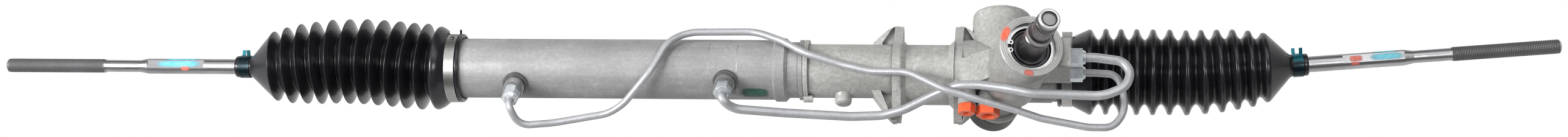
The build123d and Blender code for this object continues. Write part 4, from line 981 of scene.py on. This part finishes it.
def floor_material():
    """White where it is seen, and a dim grey for the light it gives back."""
    mat = bpy.data.materials.new("floor_white")
    mat.use_nodes = True
    tree = mat.node_tree
    tree.nodes.clear()
    out = tree.nodes.new("ShaderNodeOutputMaterial")
    diffuse = tree.nodes.new("ShaderNodeBsdfDiffuse")
    diffuse.inputs["Color"].default_value = (FLOOR_GREY, FLOOR_GREY, FLOOR_GREY, 1)
    glow = tree.nodes.new("ShaderNodeEmission")
    glow.inputs["Color"].default_value = (1, 1, 1, 1)
    glow.inputs["Strength"].default_value = 1.0
    blend = tree.nodes.new("ShaderNodeMixShader")
    tree.links.new(seen_rays(tree), blend.inputs["Fac"])
    tree.links.new(diffuse.outputs["BSDF"], blend.inputs[1])
    tree.links.new(glow.outputs["Emission"], blend.inputs[2])
    tree.links.new(blend.outputs["Shader"], out.inputs["Surface"])
    return mat


def stage_floor():
    bm = bmesh.new()
    corners = ((-1, -1), (1, -1), (1, 1), (-1, 1))
    bm.faces.new([bm.verts.new((x * FLOOR_HALF, y * FLOOR_HALF, FLOOR_Z)) for x, y in corners])
    mesh = bpy.data.meshes.new("floor")
    bm.to_mesh(mesh)
    bm.free()
    mesh.materials.append(floor_material())
    floor = bpy.data.objects.new("floor", mesh)
    bpy.context.scene.collection.objects.link(floor)


def surroundings():
    """White where the camera sees past the floor, and a faint even light elsewhere."""
    world = bpy.data.worlds.new("studio")
    bpy.context.scene.world = world
    world.use_nodes = True
    sky = world.node_tree
    ambient = sky.nodes["Background"]
    ambient.inputs["Color"].default_value = (1, 1, 1, 1)
    ambient.inputs["Strength"].default_value = AMBIENT
    backdrop = sky.nodes.new("ShaderNodeBackground")
    backdrop.inputs["Color"].default_value = (1, 1, 1, 1)
    backdrop.inputs["Strength"].default_value = 1.0
    path = sky.nodes.new("ShaderNodeLightPath")
    blend = sky.nodes.new("ShaderNodeMixShader")
    sky.links.new(path.outputs["Is Camera Ray"], blend.inputs["Fac"])
    sky.links.new(ambient.outputs["Background"], blend.inputs[1])
    sky.links.new(backdrop.outputs["Background"], blend.inputs[2])
    sky.links.new(blend.outputs["Shader"], sky.nodes["World Output"].inputs["Surface"])


def lamp(name, place, aim, power, width, height):
    data = bpy.data.lights.new(name, "AREA")
    data.energy = power
    data.shape = "RECTANGLE"
    data.size = width
    data.size_y = height
    obj = bpy.data.objects.new(name, data)
    obj.location = place
    obj.rotation_euler = (Vector(aim) - Vector(place)).to_track_quat("-Z", "Y").to_euler()
    bpy.context.scene.collection.objects.link(obj)


def lamps():
    """A broad key from behind, a narrow glint along the tube, and small lamps for the ends."""
    lamp("key", place=(0.10, 0.85, 1.8), aim=(-0.05, 0, 0), power=20, width=3.0, height=1.2)
    lamp("glint", place=(-0.20, 0.22, 1.5), aim=(-0.15, 0, 0), power=3.5, width=3.0, height=0.06)
    lamp("left_side", place=(-1.45, -0.15, 0.85), aim=(-0.45, 0, 0), power=14, width=0.3, height=0.3)
    lamp("left_front", place=(-0.9, -0.3, 1.0), aim=(0.15, 0, 0), power=13, width=0.4, height=0.4)
    lamp("right_front", place=(0.85, -0.65, 1.9), aim=(0.6, 0, 0), power=12, width=0.7, height=0.3)


stage_floor()
surroundings()
lamps()
bpy.context.scene.view_settings.view_transform = "Standard"
